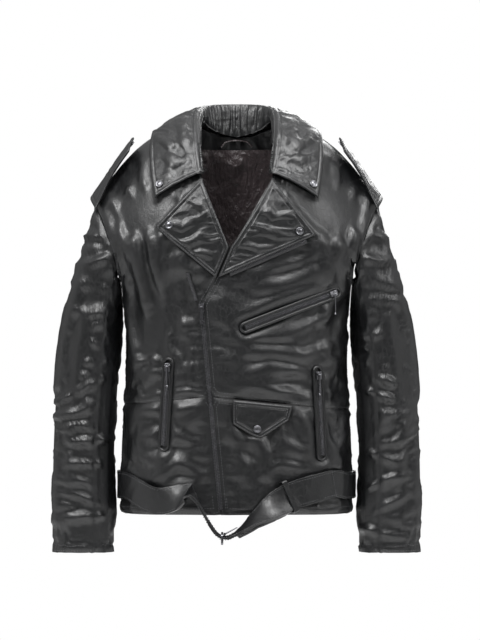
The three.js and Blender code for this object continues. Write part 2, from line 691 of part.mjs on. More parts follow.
// A slider rides over a chain whose front face is at -Y = 0. Its channel clears the chain all round.
const SLIDER_CLEAR = 0.5;
const CHANNEL = CHAIN_WIDTH / 2 + SLIDER_CLEAR;
const PIVOT_OUT = SLIDER_CLEAR + SLIDER_WALL + 1.7;    // chain face to the pull's pivot
const EAR_GAP = 2.3;                                   // half the space between the slider's ears
function zipSlider() {
  const reach = CHANNEL + SLIDER_WALL;
  const front = -SLIDER_CLEAR - SLIDER_WALL;
  const back = CHAIN_THICK - 0.5;
  const section = new THREE.Shape([
    flatPoint(-reach, back), flatPoint(-reach, front), flatPoint(reach, front), flatPoint(reach, back),
    flatPoint(CHANNEL, back), flatPoint(CHANNEL, -SLIDER_CLEAR),
    flatPoint(-CHANNEL, -SLIDER_CLEAR), flatPoint(-CHANNEL, back),
  ]);
  const body = plate(section, SLIDER_LENGTH);
  const ear = (side) => box(1.1, 3.4, 3.4, side * (EAR_GAP + 0.55), front - 1.5, 2);
  return join(body, ear(-1), ear(1));
}

// A pull hangs from its pivot at (0, 0, 0): a barrel between the ears, then a flat tab or a thin
// stem with a bead.
function flatPull(length) {
  const outline = new THREE.Shape([
    flatPoint(-1.8, 0), flatPoint(-2.6, -length * 0.3), flatPoint(-2.9, -length + 3),
    flatPoint(-1.6, -length), flatPoint(1.6, -length), flatPoint(2.9, -length + 3),
    flatPoint(2.6, -length * 0.3), flatPoint(1.8, 0),
  ]);
  const tab = plate(outline, 1.4).rotateX(Math.PI / 2);
  return join(pullBarrel(), tab);
}
function stemPull(length) {
  const stem = box(1.8, 1.3, length - 4, 0, 0, -(length - 4) / 2);
  const bead = new THREE.SphereGeometry(2.2, 10, 6).translate(0, 0, -length + 2.2);
  return join(pullBarrel(), stem, bead);
}
const pullBarrel = () => new THREE.CylinderGeometry(1.2, 1.2, 3.4, 8).rotateZ(Math.PI / 2);

// The frame that a pull has when it hangs straight down from the slider in `frame`.
const outAndUp = (out, up = 0) => new THREE.Matrix4().makeTranslation(0, -out, up);
const PULL_PIVOT = outAndUp(CHAIN_THICK / 2 + PIVOT_OUT, 2);
function hungFrom(frame, right) {
  const pivot = vec().setFromMatrixPosition(frame.clone().multiply(PULL_PIVOT));
  return frameAt(pivot, right, vec(0, 0, 1)).multiply(PULL_PIVOT.clone().invert());
}

// Adds a slider and its pull on a chain whose middle is at `frame`.
function addSlider(name, frame, pull, pullFrame) {
  const sliderAt = frame.clone().multiply(outAndUp(CHAIN_THICK / 2));
  addMesh(`${name}_slider`, zipSlider().applyMatrix4(sliderAt), 'metal');
  addMesh(`${name}_pull`, pull.applyMatrix4(pullFrame.clone().multiply(PULL_PIVOT)), 'metal');
}

// ---- Main zip -----------------------------------------------------------------------------------

const CHAIN_SUNK = 1;                                   // chain middle below the leather's face
const TAPE_SUNK = LEATHER + 2 * TOUCH + TAPE_THICK / 2;
const ZIP_END_Z = HEM_Z + ZIP_HEM_MARGIN;
const zipPoint = (z, dx, offset) => skin(zipX(z) + dx, z, FRONT, offset);
const SLIDER_Z = -ZIP_TOP_DROP - SLIDER_LENGTH / 2 - 1;
const chainStart = zipPoint(-ZIP_TOP_DROP + 2, 0, -CHAIN_SUNK);
const chainEnd = zipPoint(ZIP_END_Z, 0, -CHAIN_SUNK);
const chainDown = chainEnd.clone().sub(chainStart);
const chainAcross = vec(1, 0, 0);

for (const which of ['left', 'right']) {
  const side = sideSign[which];
  const tape = (u, v) => {
    const z = lerp(-ZIP_TOP_DROP - 2, ZIP_END_Z, v);
    return zipPoint(z, side * lerp(0.3, TAPE_WIDTH, u), -TAPE_SUNK + TAPE_THICK / 2);
  };
  addMesh(`main_zip_tape_${which}`, sheet(tape, 1, 6, TAPE_THICK, side), 'tape');
  const half = CHAIN_WIDTH / 2 - 0.2;
  const shift = side * (0.2 + half / 2);
  const row = polyline([chainStart, chainEnd].map((p) => p.clone().add(vec(shift, 0, 0))));
  addMesh(`main_zip_teeth_${which}`, strap(row, () => chainAcross, half, CHAIN_THICK, 1), 'metal');
}

const mainFrame = (() => {
  const middle = chainStart.clone().addScaledVector(
    chainDown, (SLIDER_Z + ZIP_TOP_DROP - 2) / (ZIP_END_Z + ZIP_TOP_DROP - 2));
  return frameAt(middle, chainAcross, chainDown.clone().negate());
})();
addSlider('main_zip', mainFrame, flatPull(PULL_LENGTH), hungFrom(mainFrame, chainAcross));

// Above the slider the rows part: the left one lies on the left front and runs up under the lapel,
// the right one edges the right lapel.
const OPEN_RIDE = TOUCH + CHAIN_THICK / 2 + 0.6;
const openLeft = spline([
  [ZIP_TOP_X - 8, -ZIP_TOP_DROP + 5], [ZIP_TOP_X - 15, -ZIP_TOP_DROP + 26],
  [ZIP_TOP_X - 23, -ZIP_TOP_DROP + 52],
].map(([x, z]) => skin(x, z, FRONT, OPEN_RIDE)));
addMesh('main_zip_open_left', strap(openLeft, () => chainAcross, CHAIN_WIDTH, CHAIN_THICK, 8), 'metal');

const LAPEL_ZIP_OUT = 5;
const lapelZip = (() => {
  const point = LAPEL_POINT.right;
  const along = point.clone().sub(ROLL_TIP).normalize();
  const below = flatPoint(along.y, -along.x).multiplyScalar(LAPEL_ZIP_OUT);
  const points = [0.12, 0.3, 0.5, 0.7, 0.9].map((t) => {
    const p = ROLL_TIP.clone().lerp(point, t).add(below);
    return skin(p.x, p.y, FRONT, LIFT + CHAIN_THICK / 2);
  });
  return strap(spline(points), () => vec(below.x, 0, below.y), CHAIN_WIDTH - 0.8, CHAIN_THICK, 10);
})();
addMesh('lapel_right_zip', lapelZip, 'metal');

// ---- Pocket zips --------------------------------------------------------------------------------

const POCKET_RIDE = TOUCH + CHAIN_THICK / 2 + 0.9;

// The chest zip bends with the chest: it follows the arc of a circle through three points of it.
const CHEST_ZIP = { fromX: 15, fromZ: -328, toX: 171, toZ: -268 };
const chestArc = (() => {
  const at = (t) => skin(
    lerp(CHEST_ZIP.fromX, CHEST_ZIP.toX, t), lerp(CHEST_ZIP.fromZ, CHEST_ZIP.toZ, t), FRONT, POCKET_RIDE + 2.8);
  const [a, b, c] = [0, 0.5, 1].map(at);
  const ab = b.clone().sub(a);
  const ac = c.clone().sub(a);
  const axis = vec().crossVectors(ab, ac);
  const centre = vec().crossVectors(axis, ab).multiplyScalar(ac.lengthSq())
    .add(vec().crossVectors(ac, axis).multiplyScalar(ab.lengthSq()))
    .divideScalar(2 * axis.lengthSq()).add(a);
  const start = a.clone().sub(centre);
  const sweep = start.angleTo(c.clone().sub(centre));
  axis.normalize();
  return {
    centre, axis, sweep,
    point: (t) => start.clone().applyAxisAngle(axis, sweep * t).add(centre),
  };
})();
const chestAcross = chestArc.axis;
const chestCurve = polyline(Array.from({ length: 15 }, (_, i) => chestArc.point(i / 14)));
addMesh('chest_zip', strap(chestCurve, () => chestAcross, CHAIN_WIDTH, CHAIN_THICK, 14), 'metal');

const CHEST_SLIDER_AT = 0.955;
const chestSliderPoint = chestArc.point(CHEST_SLIDER_AT);
const chestOut = chestSliderPoint.clone().sub(chestArc.centre).normalize();
const chestUp = chestArc.point(CHEST_SLIDER_AT + 0.03).sub(chestArc.point(CHEST_SLIDER_AT - 0.03));
const chestFrame = frameAt(chestSliderPoint, vec().crossVectors(chestUp, chestOut), chestUp);
addSlider('chest_zip', chestFrame, stemPull(SMALL_PULL_LENGTH), chestPullFrame());

// The chest pull hangs straight down from the slider, whose chain runs sideways.
function chestPullFrame() {
  const right = vec().crossVectors(vec(0, 0, 1), chestOut);
  return frameAt(chestSliderPoint, right, vec(0, 0, 1)).multiply(
    new THREE.Matrix4().makeTranslation(0, -3, -2));
}

const HAND_ZIPS = {
  left: { topX: -116, topZ: -388, bottomX: -124, bottomZ: -528 },
  right: { topX: 139, topZ: -402, bottomX: 146, bottomZ: -545 },
};
for (const [which, zip] of Object.entries(HAND_ZIPS)) {
  const top = skin(zip.topX, zip.topZ, FRONT, POCKET_RIDE);
  const bottom = skin(zip.bottomX, zip.bottomZ, FRONT, POCKET_RIDE);
  const right = skin(zip.topX + 4, zip.topZ, FRONT).sub(skin(zip.topX - 4, zip.topZ, FRONT));
  const line = polyline([top, bottom]);
  addMesh(`hand_zip_${which}`, strap(line, () => right, CHAIN_WIDTH, CHAIN_THICK, 2), 'metal');
  const up = top.clone().sub(bottom);
  const at = top.clone().addScaledVector(up.clone().normalize(), -SLIDER_LENGTH / 2 - 1);
  const frame = frameAt(at, right, up);
  addSlider(`hand_zip_${which}`, frame, stemPull(SMALL_PULL_LENGTH), hungFrom(frame, right));
}

// Cuff zips run up the back of the wrists.
const CUFF_ZIP_TURN = 0.72;
const CUFF_PULL_LENGTH = 26;
const CUFF_SLIDER_AT = 0.62;
for (const which of ['left', 'right']) {
  const side = sideSign[which];
  const at = (v) => sleevePoint(side, CUFF_ZIP_TURN, v, -POCKET_RIDE - 1);
  const [top, bottom] = [at(0.8), at(0.992)];
  const around = sleevePoint(side, CUFF_ZIP_TURN - 0.02, 0.9).sub(sleevePoint(side, CUFF_ZIP_TURN + 0.02, 0.9));
  const right = around.multiplyScalar(side);
  const up = top.clone().sub(bottom);
  const line = polyline([top, bottom]);
  addMesh(`cuff_zip_${which}`, strap(line, () => right, CHAIN_WIDTH, CHAIN_THICK, 2), 'metal');
  const frame = frameAt(top.clone().lerp(bottom, CUFF_SLIDER_AT), right, up);
  addSlider(`cuff_zip_${which}`, frame, stemPull(CUFF_PULL_LENGTH), hungFrom(frame, right));
}

// ---- Coin pocket --------------------------------------------------------------------------------

const FLAP = { fromX: -6, toX: 95, side: 36, point: 62, pointX: 38 };
const flapTop = (t) => {
  const x = lerp(FLAP.fromX, FLAP.toX, t);
  return flatPoint(x, waistZ(x) - 1.5);
};
function coinFlap() {
  const drop = (p, by) => flatPoint(p.x, p.y - by);
  const cornerLeft = drop(flapTop(0), FLAP.side + 4);
  const cornerRight = flatPoint(FLAP.toX - 7, flapTop(1).y - FLAP.side + 12);
  const tip = flatPoint(FLAP.pointX, flapTop(0.4).y - FLAP.point);
  const region = patch(
    flapTop,
    flatPath([cornerLeft, tip, cornerRight]),
    flatPath([flapTop(0), cornerLeft]),
    flatPath([flapTop(1), cornerRight]),
  );
  return sheet((u, v) => {
    const p = region(u, v);
    return skin(p.x, p.y, FRONT, LIFT + LEAF);
  }, 8, 4, LEAF, 1);
}
addMesh('coin_flap', coinFlap(), 'leather');
addSnap('coin_flap_snap', skinFrame(FLAP.pointX - 3, flapTop(0.4).y - FLAP.point + 17, LEAF_TOP + 0.4));

// ---- Shoulder straps ----------------------------------------------------------------------------

// The strap's two long edges are given for a shoulder tip at this place, and move with the tip.
const STRAP_TIP_X = 245;
const STRAP_TIP_Z = -108;
const STRAP_CROWN = 5;
const STRAP_POINT = 0.13;

function shoulderStrap(side) {
  const rear = spline([vec(172, -48, 3), vec(205, -52, -40), vec(251, -60, -106)]);
  const fore = spline([vec(174, -95, -12), vec(209, -103, -62), vec(240, -110, -126)]);
  return (u, v) => {
    const t = lerp(STRAP_POINT * Math.abs(2 * v - 1), 1, u);
    const p = rear.getPoint(t).lerp(fore.getPoint(t), v);
    const stretch = SHOULDER_HALF_WIDTH / STRAP_TIP_X;
    p.x *= side * stretch;
    p.z += (SHOULDER_TIP_Z - STRAP_TIP_Z) * t;
    const lift = STRAP_CROWN * Math.sin(Math.PI * v);
    return p.add(vec(side * lift * 0.6, 0, lift * 0.8));
  };
}
for (const which of ['left', 'right']) {
  const side = sideSign[which];
  const surface = shoulderStrap(side);
  addMesh(`shoulder_strap_${which}`, sheet(surface, 7, 4, LEAF, -side), 'leather');
  const at = surface(0.1, 0.5);
  const up = surface(0.1, 0.4).sub(surface(0.1, 0.6));
  const right = surface(0.13, 0.5).sub(surface(0.07, 0.5)).multiplyScalar(side);
  up.negate();
  const frame = frameAt(at, right, up).multiply(new THREE.Matrix4().makeTranslation(0, -TOUCH - 0.8, 0));
  addSnap(`shoulder_strap_${which}_snap`, frame);
}

// ---- Coin pocket bag, between the leather and the lining ----------------------------------------

const BAG_DEPTH = 62;
const BAG_SUNK = LEATHER + 1.4;
addMesh('coin_pocket_bag', sheet((u, v) => {
  const x = lerp(FLAP.fromX + 4, FLAP.toX - 4, u);
  return skin(x, waistZ(x) - 4 - BAG_DEPTH * v, FRONT, -BAG_SUNK);
}, 6, 3, 1.2, 1), 'satin');

// ---- Belt ---------------------------------------------------------------------------------------

// The belt stands clear of the body where the body is wider at the belt's upper or lower edge.
// The belt's middle line against the body: `wrap` is 0 at the middle of the back, 1 at the side seam
// and 2 at the middle of the front.
function beltAround(side, wrap) {
  const at = (w, rise = 0) => {
    const face = w > 1 ? FRONT : BACK;
    const girth = w > 1 ? 2 - w : w;
    const z = Math.max(rise - BELT_DROP, HEM_Z);
    return skin(acrossOf(girth, z), z, face);
  };
  const along = at(wrap + 0.02).sub(at(Math.max(wrap - 0.02, 0)));
  const outward = vec(along.y, -along.x, 0).normalize().negate();
  if (outward.dot(vec(at(wrap).x, at(wrap).y - SIDE_SEAM_Y, 0)) < 0) outward.negate();
  const edges = [-BELT_WIDTH / 2, BELT_WIDTH / 2].map((rise) => at(wrap, rise).sub(at(wrap)).dot(outward));
  const flare = Math.max(0, ...edges);
  const p = at(wrap).addScaledVector(outward, BELT_CLEARANCE + flare + BELT_THICK / 2);
  return vec(side * p.x, p.y, p.z);
}

// A ribbon through stations, each a middle point and a twist: at 0 its width is upright, at 90
// degrees it runs front to back.
function ribbon(stations, width, thickness, stepsPerSpan = 2) {
  const middle = spline(stations.map((station) => station.at));
  const spans = stations.length - 1;
  const grids = [[], []];
  for (let i = 0; i <= spans * stepsPerSpan; i++) {
    const t = i / (spans * stepsPerSpan);
    const low = Math.min(Math.floor(t * spans), spans - 1);
    const share = smoothstep(t * spans - low, 0, 1);
    const twist = THREE.MathUtils.degToRad(lerp(stations[low].twist, stations[low + 1].twist, share));
    const tangent = middle.getTangent(t);
    const side = vec(0, Math.sin(twist), Math.cos(twist));
    side.addScaledVector(tangent, -side.dot(tangent)).normalize();
    const normal = vec().crossVectors(tangent, side);
    [1, -1].forEach((face, layer) => {
      grids[layer].push([-1, 1].map((edge) => middle.getPoint(t)
        .addScaledVector(side, edge * width / 2)
        .addScaledVector(normal, face * thickness / 2)));
    });
  }
  return solidBetween(...grids);
}

const BUCKLE_X = -24;
const BUCKLE_DROP = 84;            // belt line down to the buckle, which hangs below the hem
const BELT_TWISTED_OUT = 28;       // from the leather to the belt's middle where it is seen edge-on
// The stations are given across a body this wide at the belt, and spread with the body's own width.
const BELT_STATIONS_HALF = 201;
const beltSpread = acrossOf(1, -BELT_DROP) / BELT_STATIONS_HALF;
const frontStation = (x, below, out, twist) => {
  const z = -BELT_DROP - below;
  const leather = skin(x * beltSpread, Math.max(z, HEM_Z), FRONT, out);
  return { at: vec(leather.x, leather.y, z), twist };
};
const aroundStations = (side, wraps) => wraps.map((wrap) => ({ at: beltAround(side, wrap), twist: 0 }));
const WRAPS = [0.012, 0.2, 0.4, 0.6, 0.8, 1, 1.15, 1.29];

const tipStrap = [
  ...aroundStations(-1, WRAPS),
  frontStation(-168, 10, 9, 0),
  frontStation(-136, 24, 14, 0),
  frontStation(-104, 18, 22, 20),
  frontStation(-82, 4, BELT_TWISTED_OUT, 60),
  frontStation(-68, 20, BELT_TWISTED_OUT, 90),
  frontStation(-44, 62, BELT_TWISTED_OUT, 90),
  frontStation(BUCKLE_X, BUCKLE_DROP, BELT_TWISTED_OUT, 90),
  frontStation(0, 76, BELT_TWISTED_OUT, 88),
  frontStation(30, 53, 28, 66),
  frontStation(60, 33, 22, 32),
  frontStation(90, 15, 15, 6),
  frontStation(130, 3, 13, 0),
  frontStation(168, -6, 12.5, 0),
];
// The buckle strap lies behind the tip strap from the tip down to the buckle.
const TWIST_BOW = 137;             // radius to which a twisted strap bows across its width
const STRAP_GAP = BELT_WIDTH ** 2 / (8 * TWIST_BOW);
const tipRun = spline(tipStrap.map((station) => station.at));
function tipStrapAxes(index) {
  const tangent = tipRun.getTangent(index / (tipStrap.length - 1));
  const twist = THREE.MathUtils.degToRad(tipStrap[index].twist);
  const side = vec(0, Math.sin(twist), Math.cos(twist));
  side.addScaledVector(tangent, -side.dot(tangent)).normalize();
  return { tangent, normal: vec().crossVectors(tangent, side) };
}
const behindTip = (index) => ({
  at: tipStrap[index].at.clone()
    .addScaledVector(tipStrapAxes(index).normal, -BELT_THICK - STRAP_GAP),
  twist: tipStrap[index].twist,
});
const FIRST_BEHIND = 15;
const buckleStrap = [
  ...tipStrap.map((_, index) => index).slice(FIRST_BEHIND).map(behindTip),
  ...aroundStations(1, WRAPS).reverse(),
];
addMesh('belt_tip_strap', ribbon(tipStrap, BELT_WIDTH, BELT_THICK), 'leather');
addMesh('belt_buckle_strap', ribbon(buckleStrap, BELT_WIDTH, BELT_THICK), 'leather');

// The buckle is a frame that the tip strap runs through where it turns up again.
const BUCKLE_CLEAR = 2.5;
const BUCKLE_BAR = 3.6;
const BUCKLE_OPENING = 11;
const buckleAt = tipStrap[14].at;
function roundedFrame(width, height, bar) {
  const rounded = (w, h, r) => new THREE.Shape()
    .moveTo(-w / 2 + r, -h / 2).lineTo(w / 2 - r, -h / 2).absarc(w / 2 - r, -h / 2 + r, r, -Math.PI / 2, 0)
    .lineTo(w / 2, h / 2 - r).absarc(w / 2 - r, h / 2 - r, r, 0, Math.PI / 2)
    .lineTo(-w / 2 + r, h / 2).absarc(-w / 2 + r, h / 2 - r, r, Math.PI / 2, Math.PI)
    .lineTo(-w / 2, -h / 2 + r).absarc(-w / 2 + r, -h / 2 + r, r, Math.PI, 1.5 * Math.PI);
  const shape = rounded(width + 2 * bar, height + 2 * bar, bar + 1);
  shape.holes.push(new THREE.Path(rounded(width, height, 1).getPoints(3)));
  return shape;
}
const buckleShape = roundedFrame(BELT_WIDTH + 2 * BUCKLE_CLEAR, BUCKLE_OPENING, BUCKLE_BAR);
const buckle = plate(buckleShape, BUCKLE_BAR, 3);
buckle.rotateZ(Math.PI / 2).rotateY(Math.PI / 2).rotateX(Math.PI);
addMesh('belt_buckle', turnedToBelt(buckle), 'metal');

// Turns a piece made around the X axis, with its width along Y, to the strap's run at the buckle.
function turnedToBelt(geometry) {
  return geometry.translate(buckleAt.x, buckleAt.y, buckleAt.z);
}

// The prong's eye sits beside the frame's upper bar, and the prong lies on the strap.
const PRONG_LENGTH = 24;
const PRONG_RADIUS = 1.4;
const prongUp = BUCKLE_OPENING / 2 + BUCKLE_BAR / 2;
const prong = join(
  new THREE.CylinderGeometry(2.2, 2.2, 5, 10),
  new THREE.CylinderGeometry(PRONG_RADIUS, 0.8, PRONG_LENGTH, 8)
    .rotateZ(Math.PI / 2).translate(PRONG_LENGTH / 2, 0, 0),
);
prong.rotateY(THREE.MathUtils.degToRad(-28));
prong.translate(BUCKLE_BAR / 2 + 2.2 + TOUCH, 0, prongUp);
addMesh('belt_prong', turnedToBelt(prong), 'metal');

// The keeper holds the tip strap on the buckle strap.
const KEEPER_WALL = 2.2;
const KEEPER_LENGTH = 9;
const KEEPER_SLACK = 0.08 * BELT_WIDTH;   // the strap turns inside it, so a wider one needs more
const KEEPER_STATION = 18;
const keeperAxes = tipStrapAxes(KEEPER_STATION);
const keeperAt = tipStrap[KEEPER_STATION].at.clone()
  .addScaledVector(keeperAxes.normal, -(BELT_THICK + STRAP_GAP) / 2);
const keeperShape = roundedFrame(2 * BELT_THICK + STRAP_GAP + KEEPER_SLACK, BELT_WIDTH + 7, KEEPER_WALL);
const keeper = plate(keeperShape, KEEPER_LENGTH, 2);
keeper.applyMatrix4(frameAt(keeperAt, keeperAxes.normal, keeperAxes.tangent));
addMesh('belt_keeper', keeper, 'leather');

// Belt loops stand on the back, one each side.
const LOOP_WIDTH = 14;
const LOOP_WRAP = 0.5;
for (const which of ['left', 'right']) {
  const side = sideSign[which];
  const at = beltAround(side, LOOP_WRAP);
  const along = beltAround(side, LOOP_WRAP - 0.03).sub(beltAround(side, LOOP_WRAP + 0.03)).multiplyScalar(side);
  const inside = BELT_CLEARANCE + BELT_THICK / 2 - TOUCH * 2;
  const outside = BELT_THICK / 2 + 1.6;
  const half = BELT_WIDTH / 2 + 2;
  const profile = new THREE.Shape([
    flatPoint(inside, -half - BELT_LOOP_WALL), flatPoint(inside, -half), flatPoint(-outside, -half),
    flatPoint(-outside, half), flatPoint(inside, half), flatPoint(inside, half + BELT_LOOP_WALL),
    flatPoint(-outside - BELT_LOOP_WALL, half + BELT_LOOP_WALL),
    flatPoint(-outside - BELT_LOOP_WALL, -half - BELT_LOOP_WALL),
  ]);
  const loop = plate(profile, LOOP_WIDTH).rotateX(Math.PI / 2).rotateZ(Math.PI / 2);
  addMesh(`belt_loop_${which}`, loop.applyMatrix4(frameAt(at, along, vec(0, 0, 1))), 'leather');
}

// ---- Hanger loop --------------------------------------------------------------------------------

const LOOP_SPAN = 27;
const LOOP_RISE = 12;
const loopCurve = spline([
  vec(-LOOP_SPAN, -0.5, -LOOP_RISE), vec(-LOOP_SPAN * 0.72, -0.3, -LOOP_RISE * 0.3), vec(0, 0, 0),
  vec(LOOP_SPAN * 0.72, -0.3, -LOOP_RISE * 0.3), vec(LOOP_SPAN, -0.5, -LOOP_RISE),
]);
addMesh('hanger_loop', strap(loopCurve, () => vec(0, 1, 0), LOOP_CORD, LOOP_CORD / 2, 12), 'leather');

export default jacket;
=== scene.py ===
import json
import math
import random

import bpy
import numpy as np
from mathutils import Matrix, Vector, noise
from mathutils.bvhtree import BVHTree
from mathutils.kdtree import KDTree

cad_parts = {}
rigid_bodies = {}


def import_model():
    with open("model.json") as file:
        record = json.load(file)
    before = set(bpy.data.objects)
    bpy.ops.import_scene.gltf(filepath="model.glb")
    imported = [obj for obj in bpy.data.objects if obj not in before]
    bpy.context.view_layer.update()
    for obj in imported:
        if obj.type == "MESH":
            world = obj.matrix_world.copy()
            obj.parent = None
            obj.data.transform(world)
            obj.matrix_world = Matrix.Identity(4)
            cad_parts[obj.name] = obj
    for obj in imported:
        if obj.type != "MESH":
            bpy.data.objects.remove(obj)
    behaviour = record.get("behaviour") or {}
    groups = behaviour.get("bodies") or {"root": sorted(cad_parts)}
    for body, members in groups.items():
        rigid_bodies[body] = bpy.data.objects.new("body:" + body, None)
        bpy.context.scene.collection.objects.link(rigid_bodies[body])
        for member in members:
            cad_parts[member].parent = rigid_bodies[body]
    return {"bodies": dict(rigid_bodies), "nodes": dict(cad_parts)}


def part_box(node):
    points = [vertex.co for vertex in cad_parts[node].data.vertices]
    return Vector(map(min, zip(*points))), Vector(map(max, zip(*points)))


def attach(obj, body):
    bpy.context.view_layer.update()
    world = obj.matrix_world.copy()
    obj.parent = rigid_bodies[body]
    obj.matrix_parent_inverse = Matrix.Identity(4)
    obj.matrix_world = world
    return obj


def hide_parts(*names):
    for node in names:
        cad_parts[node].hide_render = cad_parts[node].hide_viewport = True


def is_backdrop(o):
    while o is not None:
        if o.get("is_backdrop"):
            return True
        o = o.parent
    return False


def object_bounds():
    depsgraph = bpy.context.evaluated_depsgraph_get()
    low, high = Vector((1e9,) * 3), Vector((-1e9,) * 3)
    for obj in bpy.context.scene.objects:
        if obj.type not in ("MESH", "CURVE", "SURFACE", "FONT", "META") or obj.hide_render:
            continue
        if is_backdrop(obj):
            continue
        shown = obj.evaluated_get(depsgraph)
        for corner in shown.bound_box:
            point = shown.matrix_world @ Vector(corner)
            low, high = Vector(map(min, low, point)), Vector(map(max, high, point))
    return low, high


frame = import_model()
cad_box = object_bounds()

bl_info = {
    "name": "Rider Jacket",
    "version": (1, 0, 0),
    "blender": (4, 5, 0),
    "location": "View3D > Sidebar > Jacket",
    "description": "Leather, lining, zips and belt of a rider jacket, built on its packed solids",
    "category": "Object",
}

MM = 0.001
TORSO_AXIS_Y = -0.08            # the middle of the body, front to back
TOOTH_WIDTH = 0.0034
OPEN_ROW_SHIFT = 0.0016         # from an open tape's middle to its row of teeth
OPEN_ROW_LIFT = 0.0006
WELT_REACH = 0.0053             # from the middle of a pocket's chain to its leather lip
FLOOR_Z = -1.6
FLOOR_SIZE = 9
LOOK_AT = (0.006, -0.15, -0.315)
LAMP_TARGET = (0, -0.1, -0.35)
NODES = frame["nodes"]


# ---- Shader maths -------------------------------------------------------------------------------

class Wire:
    """A shader socket that can be used in sums and products."""

    def __init__(self, tree, socket):
        self.tree, self.socket = tree, socket

    def _math(self, operation, *values):
        return self.tree.node("ShaderNodeMath", {"operation": operation}, dict(enumerate(values)))[0]

    def __add__(self, other):
        return self._math("ADD", self, other)

    def __sub__(self, other):
        return self._math("SUBTRACT", self, other)

    def __rsub__(self, other):
        return self._math("SUBTRACT", other, self)

    def __mul__(self, other):
        return self._math("MULTIPLY", self, other)

    def __pow__(self, other):
        return self._math("POWER", self, other)

    __radd__ = __add__
    __rmul__ = __mul__

    def clamp(self, low, high):
        return self._math("MINIMUM", self._math("MAXIMUM", self, low), high)


class Shader:
    """A material's node tree, with one method that adds any node."""

    def __init__(self, name):
        self.material = bpy.data.materials.new(name)
        self.material.use_nodes = True
        self.tree = self.material.node_tree
        self.tree.nodes.clear()

    def node(self, kind, settings=None, inputs=None):
        made = self.tree.nodes.new(kind)
        for key, value in (settings or {}).items():
            if key == "stops":
                ramp = made.color_ramp
                for index, (place, colour) in enumerate(value):
                    stop = ramp.elements[index] if index < 2 else ramp.elements.new(place)
                    stop.position, stop.color = place, colour
            else:
                setattr(made, key, value)
        for key, value in (inputs or {}).items():
            if isinstance(value, Wire):
                self.tree.links.new(value.socket, made.inputs[key])
            else:
                made.inputs[key].default_value = value
        return [Wire(self, socket) for socket in made.outputs]

    def place(self, scale=(1, 1, 1), turn=(0, 0, 0)):
        """Object coordinates, turned and scaled."""
        at = self.node("ShaderNodeTexCoord")[3]
        return self.node("ShaderNodeMapping", None, {"Vector": at, "Scale": scale, "Rotation": turn})[0]

    def noise(self, at, scale, detail=4.0, roughness=0.5):
        return self.node("ShaderNodeTexNoise", None, {
            "Vector": at, "Scale": scale, "Detail": detail, "Roughness": roughness})[0]

    def cells(self, at, scale, feature="F1"):
        return self.node("ShaderNodeTexVoronoi", {"feature": feature}, {"Vector": at, "Scale": scale})[0]

    def mix(self, factor, a, b):
        """A colour between two colours."""
        return self.node("ShaderNodeMix", {"data_type": "RGBA"}, {0: factor, 6: a, 7: b})[2]

    def ramp(self, factor, low, high):
        """0 below low, 1 above high, smooth between."""
        return self.node("ShaderNodeMapRange", {"interpolation_type": "SMOOTHSTEP"}, {
            "Value": factor, "From Min": low, "From Max": high})[0]

    def bump(self, height, strength, distance, normal=None):
        inputs = {"Height": height, "Strength": strength, "Distance": distance}
        if normal is not None:
            inputs["Normal"] = normal
        return self.node("ShaderNodeBump", None, inputs)[0]

    def finish(self, **inputs):
        surface = self.node("ShaderNodeBsdfPrincipled", None, {
            key.replace("_", " "): value for key, value in inputs.items()})[0]
        self.node("ShaderNodeOutputMaterial", None, {"Surface": surface})
        return self.material


def leather_material(looks):
    """Full-grain leather: fine pebbled grain, crazed creases, worn high spots."""
    sh = Shader("creased leather")
    at = sh.place()
    grain = sh.cells(at, 1 / looks.grain)
    pores = sh.noise(at, 0.9 / looks.grain, 2.0)
    craze = sh.cells(sh.place((1, 1, 0.6)), 120, "DISTANCE_TO_EDGE")
    patches = sh.noise(at, 9, 5.0, 0.6)
    wear = sh.ramp(patches, 0.52, 0.75)
    worn = tuple(2.0 * c + 0.002 for c in looks.colour[:3]) + (1,)
    colour = sh.mix(wear * 0.55, tuple(looks.colour[:3]) + (1,), worn)
    cracks = 1 - sh.ramp(craze, 0.0, 0.09)
    rough = (looks.roughness + wear * 0.08 + pores * 0.10 - 0.05 + cracks * 0.12).clamp(0.15, 0.9)
    soft = sh.bump(sh.noise(at, 55, 5.0, 0.6), 0.35, 0.0016)
    fine = sh.bump(grain * 0.8 + pores * 0.5 - cracks * 0.5, 0.42, 0.00035, soft)
    return sh.finish(Base_Color=colour, Roughness=rough, Normal=fine, Specular_IOR_Level=0.5,
                     Coat_Weight=0.1, Coat_Roughness=0.2)


def satin_material(looks):
    """Lining satin: a fine twill with a soft sheen."""
    sh = Shader("lining satin")
    at = sh.place()
    twill = sh.node("ShaderNodeTexWave", {"bands_direction": "DIAGONAL"}, {
        "Vector": at, "Scale": 520.0, "Distortion": 0.6})[1]
    slubs = sh.noise(sh.place((1, 1, 7)), 60, 3.0)
    cloud = sh.noise(at, 14, 3.0)
    dark = tuple(looks.colour[:3]) + (1,)
    light = tuple(1.8 * c for c in looks.colour[:3]) + (1,)
    colour = sh.mix(cloud * 0.5 + slubs * 0.3, dark, light)
    rough = (0.28 + slubs * 0.14 + twill * 0.05).clamp(0.2, 0.8)
    soft = sh.bump(sh.noise(sh.place((1.4, 1, 0.7)), 24, 5.0, 0.62), 1.0, 0.016)
    fine = sh.bump(twill, 0.25, 0.00015, soft)
    return sh.finish(Base_Color=colour, Roughness=rough, Normal=fine, Sheen_Weight=0.35,
                     Sheen_Roughness=0.4)


